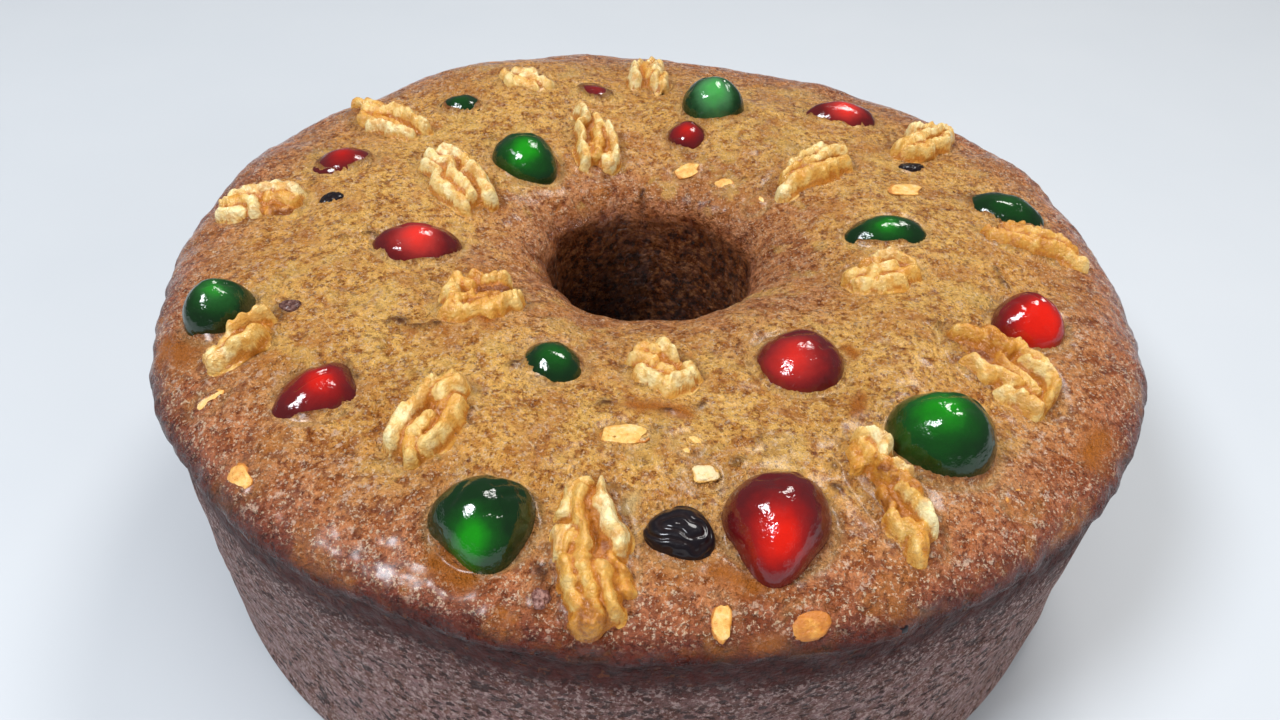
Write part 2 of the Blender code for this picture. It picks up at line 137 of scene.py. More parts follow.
def shoulderPoints(form, steps):
    # A quarter of an ellipse from the crown's last point to the rim
    radius, height = form["crown"][-1]
    turn = np.linspace(0.0, math.pi / 2.0, steps + 1)[1:]
    return np.stack([radius + (form["rim"][0] - radius) * np.sin(turn),
                     form["rim"][1] + (height - form["rim"][1]) * np.cos(turn)], axis=-1)


crownWaves, wallWaves = drawWaves(cakeForm)
plainCrown = np.concatenate([np.array(cakeForm["crown"]),
                             shoulderPoints(cakeForm, cakeForm["shoulderSteps"])])


def crownRelief(x, y):
    # Sum of the swells, rise exp(-(distance / spread)^2), and of the gentle cosine waves
    relief = np.zeros_like(np.asarray(x, float))
    for angle, radius, spread, rise in cakeForm["swells"]:
        centreX, centreY = planPoint(angle, radius)
        relief = relief + rise * bell(np.hypot(x - centreX, y - centreY), spread)
    for across, along, phase in crownWaves:
        relief = relief + cakeForm["crownWaveRise"] * np.cos(across * x + along * y + phase)
    return relief


def crownHeight(x, y):
    # Height of the plain section at the point's radius, plus the relief
    return np.interp(np.hypot(x, y), plainCrown[:, 0], plainCrown[:, 1]) + crownRelief(x, y)


def wallRelief(angle, height):
    # Cosine waves round the wall, faded out towards the base
    relief = sum(np.cos(count * angle + slope * height + phase) for count, slope, phase in wallWaves)
    return cakeForm["wallWaveDepth"] * relief * smoothStep(height, 0.0, cakeForm["wallFade"])


def rimLean(angle):
    # Sum of reach exp(-(degrees away / spread)^2) over the leans
    lean = 0.0
    for centre, spread, reach in cakeForm["leans"]:
        away = (np.degrees(angle) - centre + 180.0) % 360.0 - 180.0
        lean = lean + reach * bell(away, spread)
    return lean


def seat(angle, radius, heading):
    # A place on the crown: origin on the crust, Z along its normal, X along the heading (millimetres)
    step = 3.0
    x, y = planPoint(angle, radius)
    riseX = crownHeight(x + step, y) - crownHeight(x - step, y)
    riseY = crownHeight(x, y + step) - crownHeight(x, y - step)
    normal = np.array([-riseX, -riseY, 2.0 * step])
    normal /= np.linalg.norm(normal)
    ahead = np.array([*planPoint(heading, 1.0), 0.0])
    along = ahead - normal * (ahead @ normal)
    along /= np.linalg.norm(along)
    across = np.cross(normal, along)
    return np.stack([along, across, normal], axis=-1), np.array([x, y, float(crownHeight(x, y))])


def gridFaces(rows, columns, wrapRows):
    # Four-sided faces of a grid that wraps round its columns, and round its rows too if asked
    row = np.arange(rows if wrapRows else rows - 1)[:, None]
    column = np.arange(columns)[None, :]
    below, beside = (row + 1) % rows, (column + 1) % columns
    return np.stack([row * columns + column + 0 * below, row * columns + beside,
                     below * columns + beside, below * columns + column + 0 * row], axis=-1).reshape(-1, 4)


def pointsOutward(points, faces):
    # True where the signed volume, the sum of each face's first triangle's a . (b x c), is positive
    corners = np.array([face[:3] for face in faces])
    first, second, third = (points[corners[:, index]] for index in range(3))
    return (first * np.cross(second, third)).sum() > 0.0


def makePiece(name, points, faces, material, nodes, attributes=None):
    # The mesh of points in millimetres, with its attributes, ridden on root in place of its nodes
    faces = [tuple(face) for face in faces]
    if not pointsOutward(points, faces):
        faces = [face[::-1] for face in faces]
    mesh = bpy.data.meshes.new(name)
    mesh.from_pydata((points * mm).tolist(), [], faces)
    mesh.shade_smooth()
    for label, values in (attributes or {}).items():
        layer = mesh.attributes.new(label, "FLOAT", "POINT")
        layer.data.foreach_set("value", np.ascontiguousarray(values, np.float32))
    mesh.materials.append(material)
    piece = bpy.data.objects.new(name, mesh)
    bpy.context.scene.collection.objects.link(piece)
    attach(piece, "root")
    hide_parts(*nodes)


def domeFaces(rings, sides):
    # Faces of rings of points between a first and a last single point
    last, start = rings * sides + 1, (rings - 1) * sides + 1
    faces = [(0, 1 + side, 1 + (side + 1) % sides) for side in range(sides)]
    faces += (gridFaces(rings, sides, False)[:, ::-1] + 1).tolist()
    faces += [(last, start + (side + 1) % sides, start + side) for side in range(sides)]
    return faces


def gridNormals(points):
    # Normals of a grid that wraps round its columns: cross product of its two differences
    down = np.gradient(points, axis=0)
    around = np.roll(points, -1, axis=1) - np.roll(points, 1, axis=1)
    normals = np.cross(down, around)
    return normals / np.maximum(np.linalg.norm(normals, axis=-1, keepdims=True), 1e-9)


class Wire:
    # One socket's value, with arithmetic that adds Math nodes to its graph
    def __init__(self, graph, socket):
        self.graph = graph
        self.socket = socket

    def __add__(self, other):
        return self.graph.math("ADD", self, other)

    def __sub__(self, other):
        return self.graph.math("SUBTRACT", self, other)

    def __mul__(self, other):
        return self.graph.math("MULTIPLY", self, other)

    def __rsub__(self, other):
        return self.graph.math("SUBTRACT", other, self)

    __radd__ = __add__
    __rmul__ = __mul__


class Graph:
    # A material's nodes. make() adds any node: its settings first, then its sockets.
    def __init__(self, name, shaderValues):
        self.material = bpy.data.materials.new(name)
        self.material.use_nodes = True
        self.tree = self.material.node_tree
        self.shader = self.tree.nodes["Principled BSDF"]
        for socket, value in shaderValues.items():
            self.shader.inputs[socket].default_value = value

    def plug(self, socket, value):
        if isinstance(value, Wire):
            self.tree.links.new(value.socket, socket)
        else:
            socket.default_value = value

    def make(self, kind, settings=None, sockets=None, output=0):
        node = self.tree.nodes.new("ShaderNode" + kind)
        for key, value in (settings or {}).items():
            if key == "stops":
                self.fillRamp(node.color_ramp, value)
            else:
                setattr(node, key, value)
        for key, value in (sockets or {}).items():
            self.plug(node.inputs[key], value)
        return Wire(self, node.outputs[output])

    def fillRamp(self, ramp, stops):
        while len(ramp.elements) < len(stops):
            ramp.elements.new(1.0)
        for element, (place, colour) in zip(ramp.elements, stops):
            element.position = place
            element.color = (*colour, 1.0)

    def math(self, operation, *values):
        return self.make("Math", {"operation": operation}, dict(enumerate(values)))

    def range(self, value, low, high, toLow=0.0, toHigh=1.0):
        # A smooth step of the value, from toLow at low to toHigh at high
        sockets = {"Value": value, "From Min": low, "From Max": high, "To Min": toLow, "To Max": toHigh}
        return self.make("MapRange", {"interpolation_type": "SMOOTHSTEP"}, sockets)

    def blend(self, share, first, second, mode="MIX"):
        # The first colour at a share of 0 and the second, or the two mixed by the mode, at 1
        return self.make("Mix", {"data_type": "RGBA", "blend_type": mode, "clamp_factor": True},
                         {0: share, 6: first if isinstance(first, Wire) else (*first, 1.0),
                          7: second if isinstance(second, Wire) else (*second, 1.0)}, output=2)

    def place(self):
        # Object coordinates in millimetres
        coordinates = self.make("TexCoord", output=3)
        return self.make("VectorMath", {"operation": "SCALE"}, {0: coordinates, "Scale": 1.0 / mm})

    def noise(self, place, size, detail=3.0, rough=0.5, seed=0.0):
        # Noise of that size in millimetres, from 0 to 1
        sockets = {"Vector": place, "W": seed, "Scale": 1.0 / size, "Detail": detail, "Roughness": rough}
        return self.make("TexNoise", {"noise_dimensions": "4D"}, sockets)

    def attribute(self, label):
        return self.make("Attribute", {"attribute_name": label}, output=2)

    def ramp(self, value, stops):
        return self.make("ValToRGB", {"stops": stops}, {0: value})

    def bump(self, height, strength, distance):
        # The normal of that height, whose full range stands for that many millimetres
        return self.make("Bump", {}, {"Strength": strength, "Distance": distance * mm, "Height": height})

    def finish(self, **links):
        for label, value in links.items():
            self.plug(self.shader.inputs[label.replace("_", " ")], value)
        return self.material


print("helpers ready")


redCherries = [   # angle, radius, length, width, rise, heading, tip, heading of the tip
    (164.0, 86.0, 15.5, 12.0, 3.0, 20.0, 1.0, 200.0),
    (192.5, 57.0, 18.5, 15.0, 5.0, 15.0, 0.0, 0.0),
    (225.5, 92.5, 14.5, 13.5, 4.0, 70.0, 2.0, 72.0),
    (105.0, 75.0, 12.0, 8.5, 1.8, -18.0, 0.0, 0.0),
    (80.5, 51.0, 11.5, 11.0, 3.4, 30.0, 0.0, 0.0),
    (51.0, 87.5, 21.0, 11.5, 4.0, 0.0, 0.0, 0.0),
    (303.0, 59.5, 19.0, 18.5, 6.2, -30.0, 0.0, 0.0),
    (339.3, 90.6, 15.8, 15.4, 7.2, -20.0, 0.0, 0.0),
    (284.8, 96.8, 19.3, 18.8, 9.5, 0.0, 2.8, 263.0),
]
greenCherries = [
    (134.5, 82.0, 11.5, 8.5, 2.0, 0.0, 0.0, 0.0),
    (138.5, 47.5, 19.5, 16.5, 7.0, -40.0, 1.4, 313.0),
    (76.5, 68.0, 18.0, 17.0, 8.6, 0.0, 0.0, 0.0),
    (2.5, 58.0, 18.5, 11.5, 3.2, 4.0, 0.0, 0.0),
    (11.0, 93.5, 20.5, 13.0, 4.2, -21.0, 0.0, 0.0),
    (204.2, 102.0, 15.5, 13.4, 8.0, 108.0, 0.0, 0.0),
    (250.5, 57.0, 12.5, 11.0, 3.4, -20.0, 0.0, 0.0),
    (254.5, 100.0, 17.5, 16.5, 8.0, 0.0, 1.6, 284.0),
    (309.0, 92.0, 20.0, 19.5, 10.5, 0.0, 0.0, 0.0),
]
walnuts = [   # angle, radius, length, width, rise, heading
    (119.0, 83.5, 17.0, 12.0, 2.6, 9.0), (148.0, 91.5, 31.0, 13.0, 4.6, -31.0),
    (162.0, 55.0, 27.5, 14.0, 6.0, -48.0), (178.5, 98.5, 22.0, 13.0, 4.2, 2.0),
    (221.5, 50.0, 20.0, 17.0, 5.4, 25.0), (211.4, 98.8, 18.0, 8.6, 5.0, 48.0),
    (241.5, 84.0, 23.0, 13.0, 5.4, 66.0), (265.9, 101.5, 31.0, 14.0, 5.5, 93.0),
    (298.3, 97.2, 28.5, 10.5, 5.2, -64.0), (327.6, 88.8, 28.0, 15.6, 6.0, -48.0),
    (274.0, 54.5, 16.0, 13.0, 5.0, -34.0), (343.5, 56.5, 19.5, 13.0, 4.4, 9.0),
    (111.5, 49.0, 29.0, 12.5, 5.6, -76.0), (92.3, 87.0, 23.0, 13.0, 5.4, 92.0),
    (37.0, 53.0, 28.5, 13.0, 5.4, 36.0), (35.0, 93.0, 27.5, 13.0, 5.4, 37.0),
    (1.5, 95.0, 27.0, 12.0, 4.4, -12.0),
]
raisins = [   # angle, radius, length, width, rise, heading
    (274.6, 97.3, 12.6, 10.4, 3.4, -12.0),
    (177.0, 81.0, 6.4, 4.6, 1.1, 40.0),
    (206.6, 87.4, 5.0, 3.8, 1.1, 0.0),
    (28.3, 80.5, 8.6, 4.6, 1.4, 20.0),
    (293.2, 116.8, 5.4, 3.8, 1.2, 20.0),
    (262.0, 110.4, 4.0, 3.4, 1.1, 90.0),
]
chips = [   # angle, radius, length, width, rise, heading, paleness
    (217.9, 109.0, 6.0, 3.6, 1.0, 40.0, 0.6), (229.0, 113.4, 7.5, 4.6, 1.2, 140.0, 0.35),
    (278.3, 84.6, 4.6, 4.4, 1.2, 0.0, 1.0), (276.8, 77.0, 4.4, 4.0, 0.9, 30.0, 0.55),
    (267.6, 74.6, 8.5, 5.4, 0.9, 10.0, 0.5), (75.8, 37.0, 6.4, 4.6, 1.2, 20.0, 0.45),
    (58.0, 36.0, 5.0, 3.6, 1.1, 0.0, 0.4), (38.0, 35.0, 5.6, 3.8, 1.1, 70.0, 0.6),
    (19.5, 70.0, 9.5, 6.4, 1.5, 10.0, 0.5), (277.6, 113.0, 6.0, 3.4, 0.9, 95.0, 0.45),
    (285.0, 114.6, 7.4, 4.2, 1.0, 15.0, -0.1), (310.7, 108.4, 6.0, 3.8, 0.9, 40.0, 0.1),
]


crust = {
    "turns": 560,                      # points round the ring
    "rings": (22, 86, 34, 30),         # points up the hole, over the crown, shoulder and wall
    "curveSteps": 12,                  # steps to each span of a curve, before its points are spaced
    "shoulderSteps": 24,
    "wallBend": (116.1, 60.0),         # radius and height where the wall turns straight
    "frontCrowding": 0.16,             # how much closer the points lie at the front
    "crownFade": (56.0, 68.0),         # heights between which the crown's relief fades in
    # size and rise of the lumps on the crown, its grain, the edge and the wall
    "lumps": (11.0, 0.65),
    "grain": (2.6, 0.38),
    "edgeLumps": (5.0, 0.7),
    "wallLumps": (9.0, 0.5),
    # the raised lip round each topping, and the groove it sits in
    "lipRise": 0.75,
    "lipAway": 1.2,
    "lipWidth": 0.9,
    "lips": {"cherry": 1.0, "walnut": 0.6, "raisin": 0.5, "chip": 0.8},
    "grooveDepth": 0.9,
    "grooves": {"cherry": 1.0, "walnut": 0.45, "raisin": 0.45, "chip": 0.0},
    "swaySize": 2.2,                   # size and reach of the noise that makes the marks uneven
    "sway": 0.7,
    # marks in plan: x1, y1, x2, y2, half width, rise and kind
    "marks": [
        (36.0, -80.0, 36.0, -80.0, 0.9, -0.8, "pit"), (36.0, -84.0, 36.5, -85.0, 0.8, -0.6, "pit"),
        (18.0, -80.0, 18.0, -80.0, 1.0, -0.7, "pit"), (63.0, -35.0, 63.0, -35.0, 1.1, -0.8, "pit"),
        (-59.0, -60.0, -58.0, -61.0, 1.0, -0.7, "pit"), (-73.0, -13.0, -73.0, -13.0, 1.2, -0.9, "pit"),
        (-68.0, -10.0, -67.0, -10.0, 0.8, -0.5, "pit"), (-27.0, -56.0, -26.0, -56.0, 1.2, -0.8, "pit"),
        (-54.0, -43.0, -52.0, -43.5, 1.5, -0.9, "pit"), (-49.0, -45.0, -45.0, -44.0, 1.2, -0.8, "pit"),
        (82.0, -11.0, 83.0, -19.0, 0.6, -0.7, "pit"), (-3.0, 30.0, -3.0, 26.5, 0.7, -0.8, "pit"),
        (-8.0, -66.0, -6.0, -66.0, 1.3, -0.3, "pit"), (11.0, -65.0, 12.0, -64.0, 1.0, -0.3, "pit"),
        (-2.0, -65.5, 8.0, -67.0, 2.2, -0.2, "rust"), (4.0, -67.5, 6.0, -67.0, 0.7, -0.4, "pit"),
        (44.0, -60.0, 42.0, -65.0, 1.8, -0.2, "rust"), (-38.0, -40.0, -34.0, -42.0, 1.6, -0.1, "rust"),
        (-16.0, -104.0, -15.0, -110.0, 1.0, -0.5, "pit"), (-81.0, -41.0, -79.0, -42.0, 1.3, -0.3, "pit"),
        (-61.0, -57.0, -60.0, -59.0, 1.0, -0.5, "pit"), (22.0, -74.0, 23.0, -73.0, 0.7, -0.4, "pit"),
        (6.0, -28.5, 7.0, -28.0, 1.2, 0.5, "cream"), (-4.0, -29.5, -3.0, -29.5, 1.1, 0.5, "cream"),
        (16.0, -23.0, 22.0, -17.0, 1.8, 0.4, "cream"), (-22.0, -112.0, -20.0, -112.5, 1.2, 0.3, "rust"),
        (-2.0, -92.0, -1.0, -90.0, 1.3, 0.4, "cream"), (52.0, -66.0, 54.0, -64.0, 1.5, 0.4, "cream"),
        (-102.0, -50.0, -95.0, -54.0, 3.0, 0.1, "rust"), (21.0, -115.0, 24.0, -114.0, 1.8, 0.3, "rust"),
        (43.0, -44.0, 44.0, -46.0, 1.5, 0.2, "rust"), (92.0, -62.0, 88.0, -68.0, 3.0, 0.2, "rust"),
        (14.0, -104.0, 20.0, -106.0, 2.2, 0.2, "rust"), (-34.0, -104.0, -28.0, -107.0, 2.5, 0.2, "rust"),
    ],
}


def smoothCurve(points, steps):
    # Catmull-Rom curve through the points, that many steps to each span
    points = np.asarray(points, float)
    padded = np.concatenate([2 * points[:1] - points[1:2], points, 2 * points[-1:] - points[-2:-1]])
    share = np.linspace(0.0, 1.0, steps, endpoint=False)[:, None]
    spans = []
    for index in range(len(points) - 1):
        a, b, c, d = padded[index:index + 4]
        spans.append(0.5 * (2 * b + (c - a) * share + (2 * a - 5 * b + 4 * c - d) * share ** 2
                            + (3 * b - a - 3 * c + d) * share ** 3))
    return np.concatenate(spans + [points[-1:]])


def evenPoints(curve, count):
    # That many points at equal steps along the curve's length, without its end
    length = np.concatenate([[0.0], np.cumsum(np.linalg.norm(np.diff(curve, axis=0), axis=1))])
    wanted = np.linspace(0.0, length[-1], count, endpoint=False)
    return np.stack([np.interp(wanted, length, curve[:, axis]) for axis in range(2)], axis=-1)


def skinSection():
    # The closed section in five stretches: up the hole, crown, shoulder, wall and base.
    # Its zone counts them: 0 to 1 in the hole, 1 to 2 on the crown, and so on to 5.
    throat = cakeForm["crown"][0]
    edge = cakeForm["baseEdge"]
    inner, outer = cakeForm["holeBaseRadius"], cakeForm["baseRadius"]
    shoulder = shoulderPoints(cakeForm, crust["shoulderSteps"])
    wall = [cakeForm["rim"], cakeForm["wallTop"], crust["wallBend"], (outer, edge)]
    curves = [
        np.array([(inner, edge), throat]),
        smoothCurve(cakeForm["crown"], crust["curveSteps"]),
        np.concatenate([np.array(cakeForm["crown"][-1:]), shoulder]),
        smoothCurve(wall, crust["curveSteps"]),
    ]
    stretches = [evenPoints(curve, count) for curve, count in zip(curves, crust["rings"])]
    stretches.append(np.array([(outer, edge), (outer - edge, 0.0), (inner + edge, 0.0),
                               (inner + 0.2, edge - 0.4)]))
    zones = [index + np.linspace(0.0, 1.0, len(stretch), endpoint=False)
             for index, stretch in enumerate(stretches)]
    return np.concatenate(stretches), np.concatenate(zones)


def footprints():
    # For each topping and chip: its place and heading in plan, half length, half width, and kind
    tables = {"cherry": redCherries + greenCherries, "walnut": walnuts, "raisin": raisins, "chip": chips}
    return [(*planPoint(angle, radius), heading, length / 2.0, width / 2.0, kind)
            for kind, rows in tables.items()
            for angle, radius, length, width, rise, heading, *rest in rows]


def footprintDistance(x, y, row):
    # Distance from an ellipse's edge, about: (q - 1) times the distance over q, with q its norm
    centreX, centreY, heading, halfLength, halfWidth, kind = row
    turn = math.radians(heading)
    along = (x - centreX) * math.cos(turn) + (y - centreY) * math.sin(turn)
    across = (y - centreY) * math.cos(turn) - (x - centreX) * math.sin(turn)
    norm = np.sqrt((along / halfLength) ** 2 + (across / halfWidth) ** 2) + 1e-6
    return (norm - 1.0) * np.hypot(along, across) / norm


def buildCrust(material):
    # The section turned round the axis, and pushed along its normals
    section, zones = skinSection()
    count = crust["turns"]
    share = np.linspace(0.0, math.tau, count, endpoint=False)
    angle = share - crust["frontCrowding"] * np.cos(share)   # closest together at 270 degrees, the front
    radius = section[:, :1] + 0.0 * angle
    height = section[:, 1:] + 0.0 * angle
    turn = angle[None, :] + 0.0 * radius
    zone = zones[:, None] + 0.0 * angle
    x, y = radius * np.cos(turn), radius * np.sin(turn)

    # the solid's own relief
    rise = crownRelief(x, y) * smoothStep(height, *crust["crownFade"])
    lastCrown = cakeForm["crown"][-1][0]
    lean = rimLean(turn) * smoothStep(height, 20.0, cakeForm["rim"][1])
    swell = wallRelief(turn, height) + np.where(radius > lastCrown, lean, 0.0)
    nearHole = smoothStep(50.0 - radius, 0.0, 15.0)
    onShoulder = smoothStep(radius, lastCrown, cakeForm["rim"][0])
    outside = np.where(height > cakeForm["wallTop"][1], onShoulder, 1.0)
    swell = swell * np.where(radius < 50.0, nearHole, outside)
    factor = (radius + swell) / radius
    points = np.stack([x * factor, y * factor, height + rise], axis=-1)

    # finer relief along the normal: lumps, a knobbly edge, grooves and lips round the toppings
    normals = -gridNormals(points)
    onCrown = smoothStep(zone, 0.9, 1.1) * (1.0 - smoothStep(zone, 2.95, 3.05))
    onWall = smoothStep(zone, 2.95, 3.1) * (1.0 - smoothStep(zone, 3.9, 4.0))
    inHole = smoothStep(zone, 0.05, 0.2) * (1.0 - onCrown) * (zone < 1.5)
    onEdge = bell(zone - 3.0, 0.22)
    push = np.zeros_like(radius)
    for label, seed, part in (("lumps", 3, onCrown), ("grain", 8, onCrown), ("edgeLumps", 5, onEdge)):
        size, lift = crust[label]
        push += lift * cloudNoise(points, size, seed) * part
    size, lift = crust["wallLumps"]
    push += lift * cloudNoise(points * np.array([1.0, 1.0, 1.6]), size, 12, 4) * np.maximum(onWall, inHole)
    lip = np.zeros_like(radius)
    groove = np.zeros_like(radius)
    uneven = 0.75 + 0.5 * latticeNoise(points, 5.0, 21)
    for row in footprints():
        away = footprintDistance(x, y, row)
        ring = bell(away - crust["lipAway"], crust["lipWidth"])
        lip = np.maximum(lip, crust["lips"][row[-1]] * uneven * ring)
        groove = np.maximum(groove, crust["grooves"][row[-1]] * (1.0 - smoothStep(away, -0.6, 0.4)))
    top = zone * onCrown > 0.5
    lip, groove = lip * top, groove * top
    push += crust["lipRise"] * lip - crust["grooveDepth"] * groove
    stains = {kind: np.zeros_like(radius) for kind in ("pit", "cream", "rust")}
    swayX, swayY = (crust["sway"] * latticeNoise(points, crust["swaySize"], 91 + axis) for axis in range(2))
    for mark in crust["marks"]:
        size, lift, kind = mark[4:]
        spot = bell(lineDistance(x + swayX, y + swayY, mark[:4])[0], size) * top
        stains[kind] = np.maximum(stains[kind], spot)
        push += lift * spot
    points = points + normals * push[..., None]
    attributes = {"zone": zone, "lip": lip, "groove": groove, **stains}
    faces = gridFaces(len(section), count, True).tolist()
    makePiece("crust", points.reshape(-1, 3), faces, material, ["cake"],
              {label: values.ravel() for label, values in attributes.items()})


def crustMaterial():
    # Browned by zone and mottled by clouds of four sizes, darker in the hollows of the bump and paler
    # on its tops, partly mottling and partly painted shade and painted highlight. Then stained with
    # rust and honey, pricked with dark pores that hold painted shade, and dusted with pale sugar and
    # painted glints as far as the edge band, which is nearly black. The wall is pale and porous, with
    # painted glints on its ridges and painted shade in its pores, and the hole dark crumb with gaps of
    # painted shade. Lips, grooves and marks come from the mesh, and the grooves and pits are darkened
    # with painted shade. A patchy glaze lies over the crown.
    graph = Graph("brownedCrust", {"Specular IOR Level": 0.35, "Coat Roughness": 0.22})
    place = graph.place()
    patchy = graph.noise(place, 16.0, 4.0, 0.6, 7.0)
    middle = graph.noise(place, 4.0, 5.0, 0.65, 2.0)
    fine = graph.noise(place, 1.3, 4.0, 0.75)
    grain = graph.noise(place, 0.65, 3.0, 0.7, 5.0)
    ownZone = graph.attribute("zone")
    patches = (patchy - 0.5) * 0.8 * graph.range(ownZone, 2.9, 2.4) * graph.range(ownZone, 1.0, 1.3)
    zone = ownZone + patches + (middle - 0.5) * 0.16
    base = graph.ramp(zone * 0.2, [
        (0.0, (0.060, 0.012, 0.003)), (0.12, (0.165, 0.042, 0.009)), (0.192, (0.25, 0.070, 0.018)),
        (0.204, (0.46, 0.165, 0.062)), (0.236, (0.66, 0.280, 0.100)), (0.275, (0.86, 0.440, 0.115)),
        (0.33, (0.93, 0.510, 0.125)), (0.40, (0.88, 0.440, 0.105)), (0.455, (0.78, 0.350, 0.115)),
        (0.52, (0.66, 0.240, 0.092)), (0.550, (0.46, 0.140, 0.060)), (0.574, (0.18, 0.030, 0.013)),
        (0.598, (0.080, 0.009, 0.004)), (0.632, (0.080, 0.011, 0.006)), (0.650, (0.22, 0.095, 0.078)),
        (0.68, (0.33, 0.175, 0.155)), (1.0, (0.56, 0.36, 0.33))])
    coarse = graph.noise(place, 2.6, 3.0, 0.65, 77.0)
    # Partly mottling, partly painted shade: the middle, coarse and fine noises that raise the bump darken
    # the crust where they are low, in its hollows.
    middleHollowsShaded = graph.blend(graph.range(middle, 0.52, 0.38, 0.0, 0.8), base, (0.70, 0.54, 0.40), "MULTIPLY")
    coarseHollowsShaded = graph.blend(graph.range(coarse, 0.50, 0.38, 0.0, 0.9), middleHollowsShaded, (0.54, 0.36, 0.23), "MULTIPLY")
    fineHollowsShaded = graph.blend(graph.range(fine, 0.48, 0.38, 0.0, 1.0), coarseHollowsShaded, (0.42, 0.27, 0.18), "MULTIPLY")
    # Painted highlight: where the fine and coarse noises raise the bump most, the crust is made paler and
    # bluer, as if lit.
    lit = graph.range(fine, 0.51, 0.60, 0.0, 0.6) + graph.range(coarse, 0.52, 0.64, 0.0, 0.4)
    mottledAndLit = graph.blend(lit, fineHollowsShaded, (1.28, 1.36, 1.50), "MULTIPLY")
    onTop = graph.range(ownZone, 2.98, 2.85) * graph.range(ownZone, 1.0, 1.1)
    outward = graph.range(ownZone, 1.7, 2.5)
    rust = graph.range(graph.noise(place, 13.0, 4.0, 0.62, 11.0), 0.50, 0.62, 0.0, 0.55) * onTop
    stained = graph.blend(rust, mottledAndLit, (0.60, 0.22, 0.048))
    honey = graph.range(graph.noise(place, 10.0, 4.0, 0.62, 23.0), 0.53, 0.63, 0.0, 0.45)
    golden = graph.blend(honey * graph.range(ownZone, 2.5, 2.1) * onTop, stained, (0.96, 0.60, 0.16))
    # Painted shade: the pores, also dented in the bump, are darkened.
    pores = graph.range(graph.noise(place, 1.7, 2.0, 0.6, 31.0), 0.61, 0.67, 0.0, 0.55)
    pored = graph.blend(pores, golden, (0.20, 0.058, 0.018))
    scorch = graph.range(graph.noise(place, 2.2, 3.0, 0.65, 51.0), 0.50, 0.60, 0.0, 0.6) * outward * onTop
    scorched = graph.blend(scorch, pored, (0.20, 0.044, 0.018))
    # Partly pale sugar and partly painted glints: pale specks on the grain that also raises the bump, up to
    # the edge band.
    sugarAndGlintZone = onTop * graph.range(ownZone, 2.94, 2.78)
    sugarAndGlints = graph.range(grain, 0.54, 0.63) * sugarAndGlintZone * (outward * 0.15 + 0.55)
    sugarAndGlinted = graph.blend(sugarAndGlints, scorched, (0.98, 0.74, 0.50))
    # Partly sugar flakes and partly painted glints: larger, softer pale pink specks, most of them on the
    # shoulder.
    glintCloud = graph.noise(place, 2.0, 3.0, 0.7, 41.0)
    flakesAndGlints = graph.range(glintCloud, 0.58, 0.66) * sugarAndGlintZone * (outward * 0.35 + 0.25)
    flakedAndGlinted = graph.blend(flakesAndGlints, sugarAndGlinted, (0.98, 0.70, 0.52))
    onWall = graph.range(ownZone, 3.12, 3.22)
    squashed = graph.make("VectorMath", {"operation": "MULTIPLY"}, {0: place, 1: (1.0, 1.0, 1.5)})
    crumb = graph.noise(squashed, 2.2, 3.0, 0.6, 61.0)
    # Painted glints: pale specks on the ridges of the wall's bump.
    ridges = graph.noise(place, 1.0, 3.0, 0.7, 67.0)
    glints = graph.range(ridges, 0.50, 0.60, 0.0, 0.6) * onWall
    wallGlinted = graph.blend(glints, flakedAndGlinted, (0.76, 0.55, 0.50))
    # Painted shade: the wall's pores, also dented in the bump, are made nearly black.
    wallPores = graph.range(crumb, 0.45, 0.39, 0.0, 0.95) * onWall
    porous = graph.blend(wallPores, wallGlinted, (0.060, 0.020, 0.015))
    inHole = graph.range(ownZone, 1.0, 0.92)
    cakeCrumb = graph.noise(place, 1.8, 3.0, 0.65, 71.0)
    crumbs = graph.range(cakeCrumb, 0.52, 0.62, 0.0, 0.65) * inHole
    crumbed = graph.blend(crumbs, porous, (0.46, 0.175, 0.060))
    # Painted shade: the gaps between the crumbs in the hole are made nearly black.
    gaps = graph.range(cakeCrumb, 0.46, 0.40, 0.0, 0.85) * inHole
    gapped = graph.blend(gaps, crumbed, (0.018, 0.005, 0.003))
    paleLip = graph.attribute("lip") * graph.range(ownZone, 2.85, 2.4, 0.1, 0.5)
    lipped = graph.blend(paleLip, gapped, (0.72, 0.46, 0.18))
    # Painted shade: the groove where each topping sits in the crust is darkened.
    grooved = graph.blend(graph.attribute("groove") * 0.7, lipped, (0.16, 0.046, 0.016))
    rusted = graph.blend(graph.attribute("rust") * onTop, grooved, (0.50, 0.15, 0.018))
    creamed = graph.blend(graph.attribute("cream") * onTop, rusted, (0.76, 0.52, 0.22))
    # Painted shade: the pits, also dented in the mesh, are made nearly black.
    pit = graph.attribute("pit") * graph.range(coarse, 0.40, 0.56, 0.45, 1.0)
    pitted = graph.blend(pit, creamed, (0.09, 0.026, 0.011))
    height = (fine * 1.1 + grain * 0.7 + middle * 1.6 + coarse * 1.8
              - pores * 0.5 + ridges * 0.8 * onWall - wallPores * 1.0)
    wetness = graph.noise(place, 5.0, 3.0, 0.6, 9.0)
    glaze = graph.range(wetness, 0.42, 0.58, 0.1, 0.9) * onTop * (outward * 0.25 + 0.35)
    gloss = graph.range(graph.noise(place, 3.0, 2.0, 0.5, 9.0), 0.40, 0.60, 0.13, 0.36)
    dull = graph.range(ownZone, 2.97, 3.06, 0.0, 0.35)
    return graph.finish(Base_Color=pitted, Coat_Weight=glaze, Roughness=gloss + dull,
                        Normal=graph.bump(height, 1.0, 2.6))


buildCrust(crustMaterial())
print("crust built")


